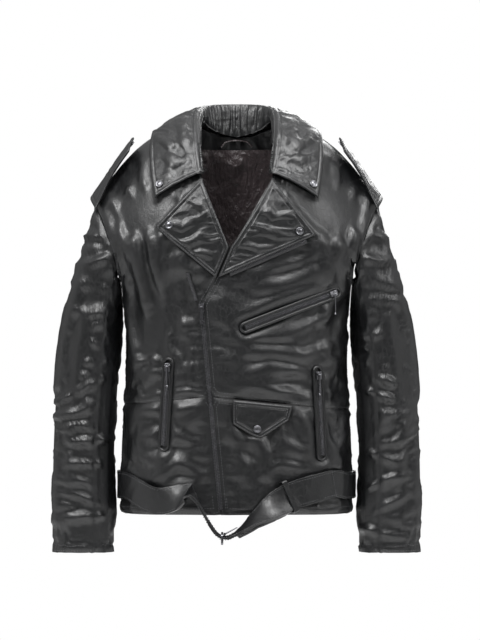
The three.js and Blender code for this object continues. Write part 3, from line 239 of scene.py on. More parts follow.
def tape_material():
    """Woven zip tape: a fine herringbone."""
    sh = Shader("zip tape")
    at = sh.place()
    weave = sh.node("ShaderNodeTexWave", {"bands_direction": "Z"}, {
        "Vector": at, "Scale": 420.0, "Distortion": 1.5})[1]
    fuzz = sh.noise(at, 900, 2.0)
    colour = sh.mix(weave * 0.6 + fuzz * 0.3, (0.006, 0.006, 0.007, 1), (0.024, 0.024, 0.026, 1))
    return sh.finish(Base_Color=colour, Roughness=(0.72 + fuzz * 0.18),
                     Normal=sh.bump(weave + fuzz, 0.5, 0.0002))


def metal_material(name, colour, roughness):
    """Dark plating: rubbed bright on the high spots, dull in the hollows."""
    sh = Shader(name)
    at = sh.place()
    smear = sh.noise(at, 260, 4.0)
    rub = sh.ramp(sh.noise(at, 90, 3.0), 0.45, 0.7)
    bright = tuple(min(1, 1.9 * c) for c in colour) + (1,)
    base = sh.mix(rub * 0.6, tuple(colour) + (1,), bright)
    rough = (roughness + smear * 0.16 - rub * 0.05).clamp(0.08, 0.8)
    scratches = sh.noise(sh.place((1, 1, 14)), 420, 2.0)
    return sh.finish(Base_Color=base, Metallic=1.0, Roughness=rough,
                     Normal=sh.bump(scratches + smear, 0.12, 0.0001))


def thread_material():
    """Waxed thread: a tight twist along each stitch."""
    sh = Shader("waxed thread")
    at = sh.place()
    twist = sh.noise(at, 1500, 2.0)
    colour = sh.mix(twist, (0.035, 0.035, 0.037, 1), (0.11, 0.112, 0.118, 1))
    return sh.finish(Base_Color=colour, Roughness=(0.38 + twist * 0.2),
                     Normal=sh.bump(twist, 0.4, 0.0001))


def stage_material():
    """Matt studio paper."""
    sh = Shader("studio paper")
    tone = sh.noise(sh.place(), 3, 2.0)
    return sh.finish(Base_Color=sh.mix(tone * 0.05, (0.93, 0.93, 0.93, 1), (0.90, 0.90, 0.90, 1)),
                     Roughness=0.95)


def studio_light():
    """White paper all round, with the lamps' light kept to the sides and the top."""
    world = bpy.data.worlds.new("studio white")
    world.use_nodes = True
    sh = Shader.__new__(Shader)
    sh.material, sh.tree = world, world.node_tree
    sh.tree.nodes.clear()
    x, _, z = sh.node("ShaderNodeSeparateXYZ", None, {"Vector": sh.node("ShaderNodeTexCoord")[0]})[:3]
    above = sh.ramp(z, 0.05, 0.95)
    beside = (x * x) ** 2.0
    lamp = above * 0.7 + beside * 0.75 + 0.05
    seen = sh.node("ShaderNodeLightPath")[0]
    strength = lamp * (1 - seen) + seen
    light = sh.node("ShaderNodeBackground", None, {"Color": (1, 1, 1, 1), "Strength": strength})[0]
    sh.node("ShaderNodeOutputWorld", None, {"Surface": light})
    return world


# ---- Mesh helpers -------------------------------------------------------------------------------

def only(obj):
    bpy.ops.object.select_all(action="DESELECT")
    obj.select_set(True)
    bpy.context.view_layer.objects.active = obj


def edit(obj, *steps):
    """Runs mesh operators, each given as (name, settings), on all of obj."""
    only(obj)
    bpy.ops.object.mode_set(mode="EDIT")
    bpy.ops.mesh.select_all(action="SELECT")
    for name, settings in steps:
        getattr(bpy.ops.mesh, name)(**settings)
    bpy.ops.object.mode_set(mode="OBJECT")


def modify(obj, kind, **settings):
    """Adds a modifier and applies it."""
    only(obj)
    added = obj.modifiers.new(kind.title(), kind)
    for key, value in settings.items():
        setattr(added, key, value)
    bpy.ops.object.modifier_apply(modifier=added.name)


def smooth(obj, angle=40):
    only(obj)
    bpy.ops.object.shade_smooth_by_angle(angle=math.radians(angle))


def new_object(name, mesh):
    obj = bpy.data.objects.new(name, mesh)
    bpy.context.scene.collection.objects.link(obj)
    return obj


def points_of(obj):
    out = np.empty(len(obj.data.vertices) * 3)
    obj.data.vertices.foreach_get("co", out)
    return out.reshape(-1, 3)


def put_points(obj, points):
    obj.data.vertices.foreach_set("co", np.asarray(points).ravel())
    obj.data.update()


def normals_of(obj):
    out = np.empty(len(obj.data.vertices) * 3)
    obj.data.vertices.foreach_get("normal", out)
    return out.reshape(-1, 3)


def edges_of(obj):
    out = np.empty(len(obj.data.edges) * 2, dtype=int)
    obj.data.edges.foreach_get("vertices", out)
    return out.reshape(-1, 2)


def rim_edges(obj):
    """Edges with one face."""
    count = {}
    for face in obj.data.polygons:
        for key in face.edge_keys:
            count[key] = count.get(key, 0) + 1
    return [key for key, faces in count.items() if faces == 1]


def rims(obj):
    """The open borders of a mesh as closed loops of vertex numbers."""
    after = {}
    for a, b in rim_edges(obj):
        after.setdefault(a, []).append(b)
        after.setdefault(b, []).append(a)
    loops, seen = [], set()
    for start in sorted(after):
        if start in seen:
            continue
        loop, here, last = [], start, None
        while here not in seen:
            seen.add(here)
            loop.append(here)
            ahead = [v for v in after[here] if v != last and v not in seen]
            if not ahead:
                break
            last, here = here, ahead[0]
        loops.append(loop)
    return loops


def finish_piece(obj, material, slot, nodes, body="jacket", angle=40):
    obj.data.materials.clear()
    obj.data.materials.append(material)
    smooth(obj, angle)
    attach(obj, body)
    if nodes:
        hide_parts(*nodes)
    return obj


def tree_of(*objs):
    """A search tree over the faces of several objects."""
    points, faces = [], []
    for obj in objs:
        base = len(points)
        points += [v.co.copy() for v in obj.data.vertices]
        faces += [[base + i for i in face.vertices] for face in obj.data.polygons]
    return BVHTree.FromPolygons(points, faces)


# ---- Leather leaves -----------------------------------------------------------------------------

def leaf_of(node, name, inner=False, sharp=50.0):
    """The outer or inner face of a thin CAD solid, as an open sheet of quads."""
    obj = new_object(name, NODES[node].data.copy())
    edit(obj, ("remove_doubles", {"threshold": 1e-5}))
    mesh = obj.data
    faces = mesh.polygons
    group = list(range(len(faces)))

    def root(i):
        while group[i] != i:
            group[i] = group[group[i]]
            i = group[i]
        return i

    owner = {}
    limit = math.cos(math.radians(sharp))
    for face in faces:
        for key in face.edge_keys:
            if key in owner and faces[owner[key]].normal.dot(face.normal) > limit:
                group[root(face.index)] = root(owner[key])
            owner[key] = face.index
    sizes, flux = {}, {}
    low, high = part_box(node)
    middle = (Vector(low) + Vector(high)) / 2
    torso = not node.startswith("sleeve")
    for face in faces:
        key = root(face.index)
        sizes[key] = sizes.get(key, 0) + face.area
        across, deep = (0, TORSO_AXIS_Y) if torso else (middle.x, middle.y)
        axis = Vector((across, deep, face.center.z))
        flux[key] = flux.get(key, 0) + face.area * face.normal.dot(face.center - axis)
    big = [key for key in sizes if sizes[key] > 0.2 * sum(sizes.values())]
    pick = min if inner else max
    kept = pick(big, key=lambda key: flux[key])
    only(obj)
    bpy.ops.object.mode_set(mode="EDIT")
    bpy.ops.mesh.select_mode(type="FACE")
    bpy.ops.object.mode_set(mode="OBJECT")
    for face in faces:
        face.select = root(face.index) != kept
    bpy.ops.object.mode_set(mode="EDIT")
    bpy.ops.mesh.delete(type="FACE")
    bpy.ops.mesh.select_all(action="SELECT")
    bpy.ops.mesh.tris_convert_to_quads(face_threshold=1.2, shape_threshold=2.0)
    bpy.ops.object.mode_set(mode="OBJECT")
    return obj


def keep_corners(obj, turn=20):
    """Border points where the border turns sharply stay sharp when the sheet is subdivided."""
    points = points_of(obj)
    crease = np.zeros(len(points), dtype=np.float32)
    for loop in rims(obj):
        for i, here in enumerate(loop):
            a = points[here] - points[loop[i - 1]]
            b = points[loop[(i + 1) % len(loop)]] - points[here]
            size = np.linalg.norm(a) * np.linalg.norm(b)
            if size > 0 and a @ b / size < math.cos(math.radians(turn)):
                crease[here] = 1
    layer = obj.data.attributes.new("crease_vert", "FLOAT", "POINT")
    layer.data.foreach_set("value", crease)


def refine(obj, levels):
    modify(obj, "SUBSURF", levels=levels, render_levels=levels, boundary_smooth="PRESERVE_CORNERS")


def drop_layer(obj):
    layer = obj.data.attributes.get("crease_vert")
    if layer:
        obj.data.attributes.remove(layer)


def rim_distance(obj):
    """How far each point is from the border, and where along the border its nearest point is."""
    points = points_of(obj)
    loops = rims(obj)
    tree = KDTree(sum(len(loop) for loop in loops))
    along = []
    for loop in loops:
        run = 0.0
        for i, here in enumerate(loop):
            if i:
                run += float(np.linalg.norm(points[here] - points[loop[i - 1]]))
            tree.insert(points[here], len(along))
            along.append(run)
    tree.balance()
    found = [tree.find(p) for p in points]
    return np.array([f[2] for f in found]), np.array([along[f[1]] for f in found])


def spread(obj, values, passes):
    """Evens out a value per point over the mesh."""
    edges = edges_of(obj)
    count = np.bincount(edges.ravel(), minlength=len(values)).astype(float)
    for _ in range(passes):
        total = np.zeros(len(values))
        np.add.at(total, edges[:, 0], values[edges[:, 1]])
        np.add.at(total, edges[:, 1], values[edges[:, 0]])
        values = 0.5 * values + 0.5 * total / np.maximum(count, 1)
    return values


def room(obj, over, under, out_most, in_most, near=0.007):
    """How far each point may move out and in, with what lies over and under it in the way."""
    points, normals = points_of(obj), normals_of(obj)
    outs = np.full(len(points), out_most)
    ins = np.full(len(points), in_most)
    for i, (p, n) in enumerate(zip(points, normals)):
        p, n = Vector(p), Vector(n)
        if over is not None:
            hit = over.ray_cast(p - n * 0.001, n, 0.03)
            if hit[0] is not None:
                gap = hit[3] - 0.001
                outs[i] = min(out_most, max(0.0, gap - 0.0012))
                if gap < near:
                    ins[i] = min(ins[i], 0.0006)
        if under is not None:
            hit = under.ray_cast(p - n * 0.0028, -n, 0.03)
            if hit[0] is not None:
                ins[i] = min(ins[i], max(0.0, hit[3] - 0.0004))
    outs = np.minimum(outs, spread(obj, outs, 6))
    ins = np.minimum(ins, spread(obj, ins, 6))
    return outs, ins


def fold_moves(points, normals, strokes):
    """Heights of drawn folds: each stroke is (side, [(x, z), ...], width, height) in mm."""
    moves = np.zeros(len(points))
    flat = points[:, [0, 2]]
    for side, path, width, height in strokes:
        path = np.array(path) * MM
        width, height = width * MM, height * MM
        best = np.full(len(points), 1e9)
        where = np.zeros(len(points))
        spans = len(path) - 1
        for i in range(spans):
            a, b = path[i], path[i + 1]
            ab = b - a
            t = np.clip(((flat - a) @ ab) / (ab @ ab), 0, 1)
            d = np.linalg.norm(flat - (a + t[:, None] * ab), axis=1)
            closer = d < best
            best = np.where(closer, d, best)
            where = np.where(closer, (i + t) / spans, where)
        taper = np.sin(np.pi * np.clip(where, 0.03, 0.97)) ** 0.7
        facing = np.clip(-side * normals[:, 1] * 3 - 0.2, 0, 1)
        ridge = np.exp(-(best / width) ** 2) - 0.45 * np.exp(-((best - 1.7 * width) / (0.8 * width)) ** 2)
        moves += 1.35 * height * ridge * taper * facing
    return moves


def crease_moves(points, scale, height, stretch=(1, 1, 1), seed=0.0):
    """Small random creases: thin ridges between smooth hollows."""
    out = np.empty(len(points))
    for i, p in enumerate(points):
        q = Vector((p[0] * stretch[0], p[1] * stretch[1], p[2] * stretch[2])) / scale
        q += Vector((seed, 2.7 * seed, -seed))
        warp = noise.noise(q * 0.6) * 1.3
        q = q + Vector((warp, -warp, warp * 0.5))
        out[i] = 0.55 - abs(noise.noise(q)) * 2.2 + 0.35 * noise.noise(q * 2.3)
    return out * height


def drape(obj, pin, gravity, growth, frames=26, stiff=22.0, bend=3.0):
    """Lets the sheet hang and buckle between its pinned points."""
    only(obj)
    group = obj.vertex_groups.new(name="sewn")
    for i, weight in enumerate(pin):
        group.add([i], float(weight), "REPLACE")
    cloth = obj.modifiers.new("Cloth", "CLOTH")
    facts = cloth.settings
    facts.quality = 5
    facts.mass = 0.35
    facts.tension_stiffness = facts.compression_stiffness = stiff
    facts.shear_stiffness = stiff * 0.5
    facts.bending_stiffness = bend
    facts.tension_damping = facts.compression_damping = facts.shear_damping = 12
    facts.bending_damping = 1.2
    facts.air_damping = 3
    facts.vertex_group_mass = "sewn"
    facts.shrink_min = -growth
    facts.effector_weights.gravity = gravity
    cloth.collision_settings.use_collision = False
    cloth.point_cache.frame_start, cloth.point_cache.frame_end = 1, frames
    scene = bpy.context.scene
    for step in range(1, frames + 1):
        scene.frame_set(step)
    bpy.ops.object.modifier_apply(modifier=cloth.name)
    scene.frame_set(1)
    obj.vertex_groups.clear()


def settle(base, normals, obj, outs, ins, moves):
    """Moves the sheet along its normals, no further than the room it has."""
    held = np.where(moves > 0, outs * np.tanh(moves / np.maximum(outs, 1e-6)),
                    -ins * np.tanh(-moves / np.maximum(ins, 1e-6)))
    put_points(obj, base + normals * held[:, None])


# ---- Folds --------------------------------------------------------------------------------------

FRONT, BACK = 1, -1


def on_face(face, strokes):
    return [(face, *stroke) for stroke in strokes]


FRONT_FOLDS = on_face(FRONT, [
    ([(-168, -118), (-176, -190), (-160, -260), (-146, -330)], 11, 6),
    ([(-128, -160), (-136, -215), (-124, -290), (-116, -372)], 12, 7),
    ([(-104, -232), (-96, -300), (-86, -372)], 9, 5),
    ([(-152, -250), (-138, -340), (-142, -430)], 9, 4),
    ([(-84, -300), (-74, -360), (-72, -430)], 7, 3.5),
    ([(-190, -200), (-172, -262), (-168, -330)], 8, -4),
    ([(34, -262), (92, -250), (150, -232)], 10, 4),
    ([(20, -300), (72, -282), (128, -262)], 8, 4),
    ([(6, -340), (60, -346), (126, -322), (176, -300)], 8, 4),
    ([(0, -372), (56, -366), (110, -376), (170, -352)], 9, 4.5),
    ([(2, -412), (50, -396), (98, -402), (128, -412)], 8, 4),
    ([(150, -190), (158, -260), (150, -330), (160, -400)], 9, 4),
    ([(-10, -440), (14, -462), (34, -500), (50, -566), (66, -606)], 10, 6),
    ([(-16, -480), (0, -530), (16, -590)], 9, 4),
    ([(110, -470), (124, -520), (118, -580)], 10, 4),
    ([(70, -520), (112, -540), (160, -532)], 9, 3.5),
    ([(-170, -462), (-120, -470), (-66, -458)], 9, 3.5),
    ([(-160, -520), (-110, -508), (-64, -528)], 10, 4),
    ([(-150, -590), (-100, -560), (-52, -574)], 9, 4),
    ([(180, -420), (150, -452), (112, -462)], 8, 3),
    ([(196, -150), (204, -190), (192, -240)], 8, 4),
    ([(-198, -64), (-176, -110), (-150, -170), (-134, -240)], 8, 5),
    ([(-160, -40), (-158, -90), (-144, -140)], 8, 4),
    ([(-222, -90), (-200, -140), (-186, -206)], 7, 4.5),
    ([(178, -36), (172, -90), (178, -150), (168, -214)], 8, 5),
    ([(206, -70), (196, -124), (200, -180)], 7, 4.5),
    ([(150, -60), (142, -110), (148, -160)], 8, 3.6),
    ([(230, -100), (220, -150), (214, -200)], 7, 4),
    ([(40, -236), (86, -222), (132, -204)], 6, 3.4),
    ([(-116, -388), (-150, -380), (-182, -392)], 7, 3.6),
    ([(24, -424), (60, -434), (104, -436)], 6, 3.4),
    ([(-34, -446), (-90, -436), (-150, -446)], 6, 3.4),
    ([(120, -440), (150, -500), (168, -560)], 8, 4),
    ([(-124, -452), (-112, -510), (-128, -566)], 8, 4),
    ([(30, -590), (70, -560), (120, -566)], 7, 3.6),
])

COLLAR_FOLDS = on_face(FRONT, [
    ([(-140, 0), (-116, -14), (-84, -12)], 8, 3.4),
    ([(-132, -34), (-106, -46), (-76, -40)], 8, 3),
    ([(-122, -4), (-110, -36), (-114, -80)], 9, 2.6),
    ([(-96, 28), (-92, 2), (-78, -30)], 9, 3),
    ([(132, 4), (112, -16), (82, -18)], 8, 3.4),
    ([(138, -30), (108, -44), (80, -36)], 7, 3),
    ([(92, 26), (100, -8), (112, -60)], 9, 3),
    ([(70, 20), (84, -4), (120, -10)], 8, 2.4),
])

LAPEL_FOLDS = on_face(FRONT, [
    ([(-120, -146), (-92, -160), (-66, -146)], 8, 2.6),
    ([(-104, -186), (-78, -184), (-46, -168)], 9, 2.4),
    ([(-84, -206), (-60, -200), (-38, -212)], 7, 1.8),
    ([(-74, -112), (-60, -124), (-50, -142)], 7, 2.2),
    ([(34, -122), (62, -138), (106, -140)], 8, 2.6),
    ([(30, -158), (64, -168), (100, -176)], 9, 2.4),
    ([(10, -184), (36, -196), (76, -190)], 7, 2),
    ([(48, -100), (58, -124), (56, -150)], 7, 2),
])

BACK_FOLDS = on_face(BACK, [
    ([(-150, -190), (-128, -260), (-132, -360)], 14, 5),
    ([(150, -190), (126, -270), (136, -370)], 14, 5),
    ([(-70, -230), (-52, -330), (-64, -450)], 14, 4),
    ([(62, -220), (70, -330), (52, -440)], 14, 4),
    ([(0, -260), (8, -380), (-6, -520)], 16, 4),
    ([(-170, -420), (-100, -450), (-20, -440)], 13, 4),
    ([(170, -430), (90, -462), (20, -452)], 13, 4),
    ([(-160, -520), (-80, -536), (0, -516)], 12, 4),
    ([(150, -530), (90, -522), (10, -546)], 12, 4),
    ([(-60, -60), (-110, -84), (-170, -88)], 11, 3),
    ([(60, -64), (112, -90), (170, -92)], 11, 3),
])


def sleeve_folds(side):
    """Slanted creases down both faces of a sleeve, crowded at the elbow."""
    dice = random.Random(11 if side < 0 else 29)
    folds = []
    z = -170
    while z > -690:
        middle = side * (232 + 32 * min(1, (-z - 120) / 400))
        slant = dice.uniform(-46, 46) + (18 if z > -400 else -10)
        reach = dice.uniform(26, 50)
        for face in (FRONT, BACK, FRONT):
            shift = dice.uniform(-22, 22)
            folds.append((face, [
                (middle - reach + shift, z + slant * 0.5),
                (middle + shift, z + dice.uniform(-8, 8)),
                (middle + reach + shift, z - slant * 0.5),
            ], dice.uniform(4.5, 8.5), dice.uniform(3.4, 6.4)))
        z -= dice.uniform(20, 38) if -520 < z < -300 else dice.uniform(28, 48)
    folds.append((FRONT, [(side * 262, -190), (side * 286, -300), (side * 292, -420)], 13, 6))
    folds.append((FRONT, [(side * 236, -300), (side * 262, -400), (side * 250, -520)], 11, 5))
    folds.append((FRONT, [(side * 290, -470), (side * 276, -560), (side * 286, -650)], 10, 4))
    return folds


finished = {}
materials = {}


def plain_profile(distance):
    """A sewn panel: its edge turns down into the seam."""
    return -0.7 * MM * np.exp(-(distance / 0.0035) ** 2)


def padded_profile(distance):
    """A bagged-out edge: a full border, a stitched groove, then the flat of the piece."""
    d = distance / MM
    return MM * (0.55 * np.exp(-((d - 3.4) / 2.2) ** 2) - 0.95 * np.exp(-(d / 1.3) ** 2)
                 - 0.75 * np.exp(-((d - 7.6) / 1.1) ** 2))


class Sheet:
    """How one thin CAD solid is turned into a sewn piece. Lengths are in mm."""

    def __init__(self, body="jacket", material="leather", folds=(), out=2.0, inward=0.6, gravity=0.2,
                 growth=0.02, crease=(40, 1.5), stretch=(1, 1, 1), fine=1, inner=False, thick=2.4,
                 profile=plain_profile, pucker=1.6, over=(), under=(), gathers=0.0, sharp=50.0,
                 fine_crease=(18, 0.25)):
        self.__dict__.update({key: value for key, value in locals().items() if key != "self"})


COVER_STARTS = ("lapel", "collar_fall", "collar_left", "collar_right", "coin_flap", "shoulder_strap",
                "belt_", "main_zip", "chest_zip", "hand_zip", "cuff_zip")
ALL_COVERS = [name for name in NODES if name.startswith(COVER_STARTS)]
ZIP_RUNS = [name for name in NODES if name.startswith(("main_zip_teeth", "chest_zip", "hand_zip", "cuff_zip"))
            and not name.endswith(("slider", "pull"))]
LININGS = ["body_lining", "sleeve_left_lining", "sleeve_right_lining", "coin_pocket_bag"]


def shell(folds, **facts):
    facts.setdefault("out", 9)
    facts.setdefault("inward", 5)
    facts.setdefault("gravity", 0.25)
    facts.setdefault("growth", 0.022)
    facts.setdefault("fine_crease", (13, 0.8))
    return Sheet(folds=folds, over=ALL_COVERS, under=LININGS, **facts)


PANELS = {
    "front_left_upper": shell(FRONT_FOLDS, crease=(46, 2.2), stretch=(1, 1, 0.45)),
    "front_right_upper": shell(FRONT_FOLDS, crease=(46, 2.2), stretch=(0.6, 1, 1)),
    "front_left_lower": shell(FRONT_FOLDS, crease=(42, 2.0), stretch=(0.7, 1, 1)),
    "front_right_lower": shell(FRONT_FOLDS, crease=(42, 2.0), stretch=(1, 1, 0.8)),
    "back_yoke": shell(BACK_FOLDS, crease=(60, 1.8), stretch=(0.7, 1, 1), growth=0.02),
    "back_panel": shell(BACK_FOLDS, crease=(60, 2.2), stretch=(1, 1, 0.6)),
}
for side, which in ((-1, "left"), (1, "right")):
    for part in ("outer", "under"):
        PANELS[f"sleeve_{which}_{part}"] = shell(
            sleeve_folds(side), crease=(38, 2.2), stretch=(0.7, 0.7, 1.2), growth=0.035, out=8)
TRIMS = {
    "collar_stand": Sheet(inner=True, crease=(26, 1.6), stretch=(1, 1, 0.3), out=3, inward=1.5, gathers=1.8,
                          thick=2.4, fine=2, growth=0.0, pucker=0.3, fine_crease=(14, 0.4)),
    "collar_fall": Sheet(folds=COLLAR_FOLDS, crease=(30, 1.3), stretch=(0.8, 0.8, 1.4), out=4.5, inward=1.2,
                         thick=3.6, fine=2, profile=padded_profile, growth=0.0, gathers=1.2, pucker=0.5,
                         over=("collar_left_snap", "collar_right_snap"), fine_crease=(12, 0.4)),
    "coin_flap": Sheet(body="coin_flap", crease=(30, 0.7), out=2, inward=0.6, thick=3.6, fine=2,
                       profile=padded_profile, over=("coin_flap_snap",), growth=0.0, pucker=0.3),
}
for which in ("left", "right"):
    TRIMS[f"lapel_{which}"] = Sheet(
        body=f"lapel_{which}", folds=LAPEL_FOLDS, crease=(26, 1.5), stretch=(0.6, 1, 1.3), out=4.5,
        inward=0.9, thick=3.6, fine=2, profile=padded_profile, growth=0.0, pucker=0.5,
        over=("collar_fall", "lapel_left_snap", "lapel_right_snap"))
    TRIMS[f"shoulder_strap_{which}"] = Sheet(
        body=f"shoulder_strap_{which}", crease=(30, 1.0), out=1.5, inward=0.6, thick=3.6, fine=2,
        profile=padded_profile, over=(f"shoulder_strap_{which}_snap",), growth=0.0, pucker=0.5)
SATINS = {
    "body_lining": Sheet(material="satin", inner=True, crease=(30, 8.0), stretch=(1, 1, 0.6), out=9,
                         inward=0.8, thick=0.7, growth=0.03, gravity=0.3, fine=2, pucker=2.0,
                         fine_crease=(12, 2.2)),
    "sleeve_left_lining": Sheet(material="satin", inner=True, crease=(20, 1.5), out=3, inward=0.5, thick=0.7,
                                fine=0, growth=0.0),
    "sleeve_right_lining": Sheet(material="satin", inner=True, crease=(20, 1.5), out=3, inward=0.5,
                                 thick=0.7, fine=0, growth=0.0),
}


def trees_for(names):
    objs = [finished.get(name, NODES.get(name)) for name in names]
    return tree_of(*objs) if objs else None


def keep_value(obj, name, values):
    """Stores a value per point, which subdivision then carries to the new points."""
    layer = obj.data.attributes.new(name, "FLOAT", "POINT")
    layer.data.foreach_set("value", np.asarray(values, dtype=np.float32))


def take_value(obj, name):
    layer = obj.data.attributes[name]
    values = np.empty(len(obj.data.vertices), dtype=np.float32)
    layer.data.foreach_get("value", values)
    obj.data.attributes.remove(layer)
    return values.astype(float)


def clear_of_runs(points, half=0.009, fade=0.012):
    """0 on the paths of the zip sliders, 1 away from them."""
    tree = tree_of(*[NODES[name] for name in ZIP_RUNS])
    gaps = np.array([tree.find_nearest(Vector(p))[3] for p in points])
    return np.clip((gaps - half) / fade, 0, 1)


def make_sheet(node, facts, seed):
    """One sewn piece: draped, folded, puckered at its seams, with its border worked."""
    obj = leaf_of(node, f"{node}_{facts.material}", facts.inner, facts.sharp)
    keep_corners(obj)
    refine(obj, 2)
    base, normals = points_of(obj), normals_of(obj)
    over, under = trees_for(facts.over), trees_for(facts.under)
    hang = np.zeros(len(base))
    if facts.growth:
        outs, _ = room(obj, over, under, facts.out * MM, facts.inward * MM)
        distance, _ = rim_distance(obj)
        tight = np.clip(1 - outs / (3 * MM), 0, 1)
        pin = np.maximum(np.where(distance < 0.004, 1.0, 0.0), tight * 0.9)
        drape(obj, pin, facts.gravity, facts.growth)
        hang = np.einsum("ij,ij->i", points_of(obj) - base, normals)
        put_points(obj, base)
    keep_value(obj, "hang", hang)
    if facts.fine:
        refine(obj, facts.fine)
    drop_layer(obj)
    hang = take_value(obj, "hang")
    base, normals = points_of(obj), normals_of(obj)
    outs, ins = room(obj, over, under, facts.out * MM, facts.inward * MM)
    if node in PANELS:
        outs *= clear_of_runs(base)
    distance, along = rim_distance(obj)
    free = np.clip(distance / 0.012, 0, 1)
    extra = hang + fold_moves(base, normals, facts.folds) * free
    for (scale, height), stretch in ((facts.crease, facts.stretch), (facts.fine_crease, (1, 1, 1))):
        extra += crease_moves(base, scale * MM, height * MM, stretch, seed) * free
    pucker = np.array([noise.noise(Vector((a / 0.013, seed, d / 0.05))) for a, d in zip(along, distance)])
    extra += pucker * facts.pucker * MM * np.exp(-distance / 0.016) * np.clip(distance / 0.004, 0, 1)
    if facts.gathers:
        turn = np.arctan2(base[:, 0], -base[:, 1] - 0.05)
        waves = np.array([noise.noise(Vector((t * 9, z * 14, seed))) for t, z in zip(turn, base[:, 2])])
        behind = np.clip(base[:, 1] * 20 + 1.6, 0, 1)
        extra += np.sin(turn * 22 + 3 * waves) * facts.gathers * MM * free * behind
    settle(base, normals, obj, outs * free, ins * free, extra)
    distance, _ = rim_distance(obj)
    put_points(obj, points_of(obj) + normals_of(obj) * facts.profile(distance)[:, None])
    finished[node] = obj
    return obj


def weld(names, reach, sink):
    """Draws the borders of neighbouring pieces together, so that each seam is closed."""
    borders = {}
    for name in names:
        obj = finished[name]
        points = points_of(obj)
        borders[name] = [
            points[a] + (points[b] - points[a]) * t
            for a, b in rim_edges(obj) for t in (0.0, 0.2, 0.4, 0.6, 0.8)]
    for name in names:
        obj = finished[name]
        points, normals = points_of(obj), normals_of(obj)
        others = [p for other in names if other != name for p in borders[other]]
        tree = KDTree(len(others))
        for i, p in enumerate(others):
            tree.insert(p, i)
        tree.balance()
        rim = sorted({v for edge in rim_edges(obj) for v in edge})
        moves = {}
        for v in rim:
            found, _, gap = tree.find(points[v])
            if gap < reach:
                toward = np.array(found) - points[v]
                moves[v] = toward * 0.5 + toward / max(gap, 1e-6) * 0.0003 - normals[v] * sink
            else:
                moves[v] = np.zeros(3)
        near = KDTree(len(rim))
        for v in rim:
            near.insert(points[v], v)
        near.balance()
        for i in range(len(points)):
            _, v, gap = near.find(points[i])
            if gap < 0.03:
                points[i] += moves[v] * math.exp(-(gap / 0.007))
        put_points(obj, points)


# ---- Stitching ----------------------------------------------------------------------------------

def rim_rows(obj, inset, keep):
    """Lines that run at one distance inside the border of a sheet, where keep(point) is true."""
    points, normals = points_of(obj), normals_of(obj)
    faces = tree_of(obj)
    beside = {}
    for a, b in edges_of(obj):
        beside.setdefault(a, []).append(b)
        beside.setdefault(b, []).append(a)
    rows = []
    for loop in rims(obj):
        row = []
        rim_set = set(loop)
        tree = KDTree(len(loop))
        for v in loop:
            tree.insert(points[v], v)
        tree.balance()
        for i, here in enumerate(loop + loop[:1]):
            i %= len(loop)
            tangent = points[loop[(i + 1) % len(loop)]] - points[loop[i - 1]]
            inward = np.cross(normals[here], tangent)
            size = np.linalg.norm(inward)
            interior = [points[v] - points[here] for v in beside[here] if v not in rim_set]
            if size < 1e-9 or not interior:
                continue
            inward /= size
            if inward @ np.mean(interior, axis=0) < 0:
                inward = -inward
            found, normal, _, _ = faces.find_nearest(Vector(points[here] + inward * inset))
            near = tree.find(found)[2] if found is not None else 0
            if found is not None and near > 0.8 * inset and keep(found):
                row.append((found, normal))
            elif row:
                rows.append(row)
                row = []
        if row:
            rows.append(row)
    return [row for row in rows if len(row) > 3]


def frame_of(at, along, out):
    """A matrix with x along the seam, z out of the leather."""
    along = along.normalized()
    across = out.cross(along).normalized()
    up = along.cross(across)
    return Matrix((
        (along.x, across.x, up.x, at.x),
        (along.y, across.y, up.y, at.y),
        (along.z, across.z, up.z, at.z),
        (0, 0, 0, 1)))


def spaced(row, pitch):
    """Places along a row, one each pitch, as matrices."""
    places = []
    left = pitch / 2
    for (a, na), (b, _) in zip(row, row[1:]):
        span = b - a
        length = span.length
        if length > 0.02 or length < 1e-9:
            continue
        while left < length:
            places.append(frame_of(a + span * (left / length), span, na))
            left += pitch
        left -= length
    return places


def copies(name, unit, frames):
    """One mesh that holds a copy of the unit at each place."""
    points = points_of(unit)
    faces = [tuple(face.vertices) for face in unit.data.polygons]
    all_points, all_faces = [], []
    for frame_at in frames:
        turn = np.array(frame_at)
        base = len(all_points) * len(points)
        all_points.append(points @ turn[:3, :3].T + turn[:3, 3])
        all_faces += [tuple(base + v for v in face) for face in faces]
    mesh = bpy.data.meshes.new(name)
    mesh.from_pydata(np.concatenate(all_points).tolist(), [], all_faces)
    return new_object(name, mesh)


def stitch_unit(length, thick):
    bpy.ops.object.select_all(action="DESELECT")
    bpy.ops.mesh.primitive_uv_sphere_add(segments=6, ring_count=4, radius=0.5)
    unit = bpy.context.object
    unit.scale = (length, thick, thick)
    bpy.ops.object.transform_apply(scale=True)
    return unit


# ---- Sizes and colours --------------------------------------------------------------------------

class JacketLeather(bpy.types.PropertyGroup):
    colour: bpy.props.FloatVectorProperty(
        name="Leather colour", description="Colour of the dyed leather", subtype="COLOR", size=4,
        min=0, max=1, default=(0.0050, 0.0053, 0.0058, 1))
    roughness: bpy.props.FloatProperty(
        name="Leather roughness", description="0 is patent leather, 1 is suede", default=0.36,
        min=0, max=1, subtype="FACTOR")
    grain: bpy.props.FloatProperty(
        name="Grain size", description="Width of one pebble of the grain", default=0.0011,
        min=0.0003, max=0.01, precision=5, unit="LENGTH")
    thickness: bpy.props.FloatProperty(
        name="Leather thickness", description="Thickness of one layer", default=0.0024,
        min=0.0008, max=0.005, precision=5, unit="LENGTH")
    stitch_length: bpy.props.FloatProperty(
        name="Stitch length", description="Length of one stitch of the topstitching", default=0.0034,
        min=0.001, max=0.01, precision=5, unit="LENGTH")


class JacketLining(bpy.types.PropertyGroup):
    colour: bpy.props.FloatVectorProperty(
        name="Lining colour", description="Colour of the satin", subtype="COLOR", size=4,
        min=0, max=1, default=(0.026, 0.019, 0.020, 1))


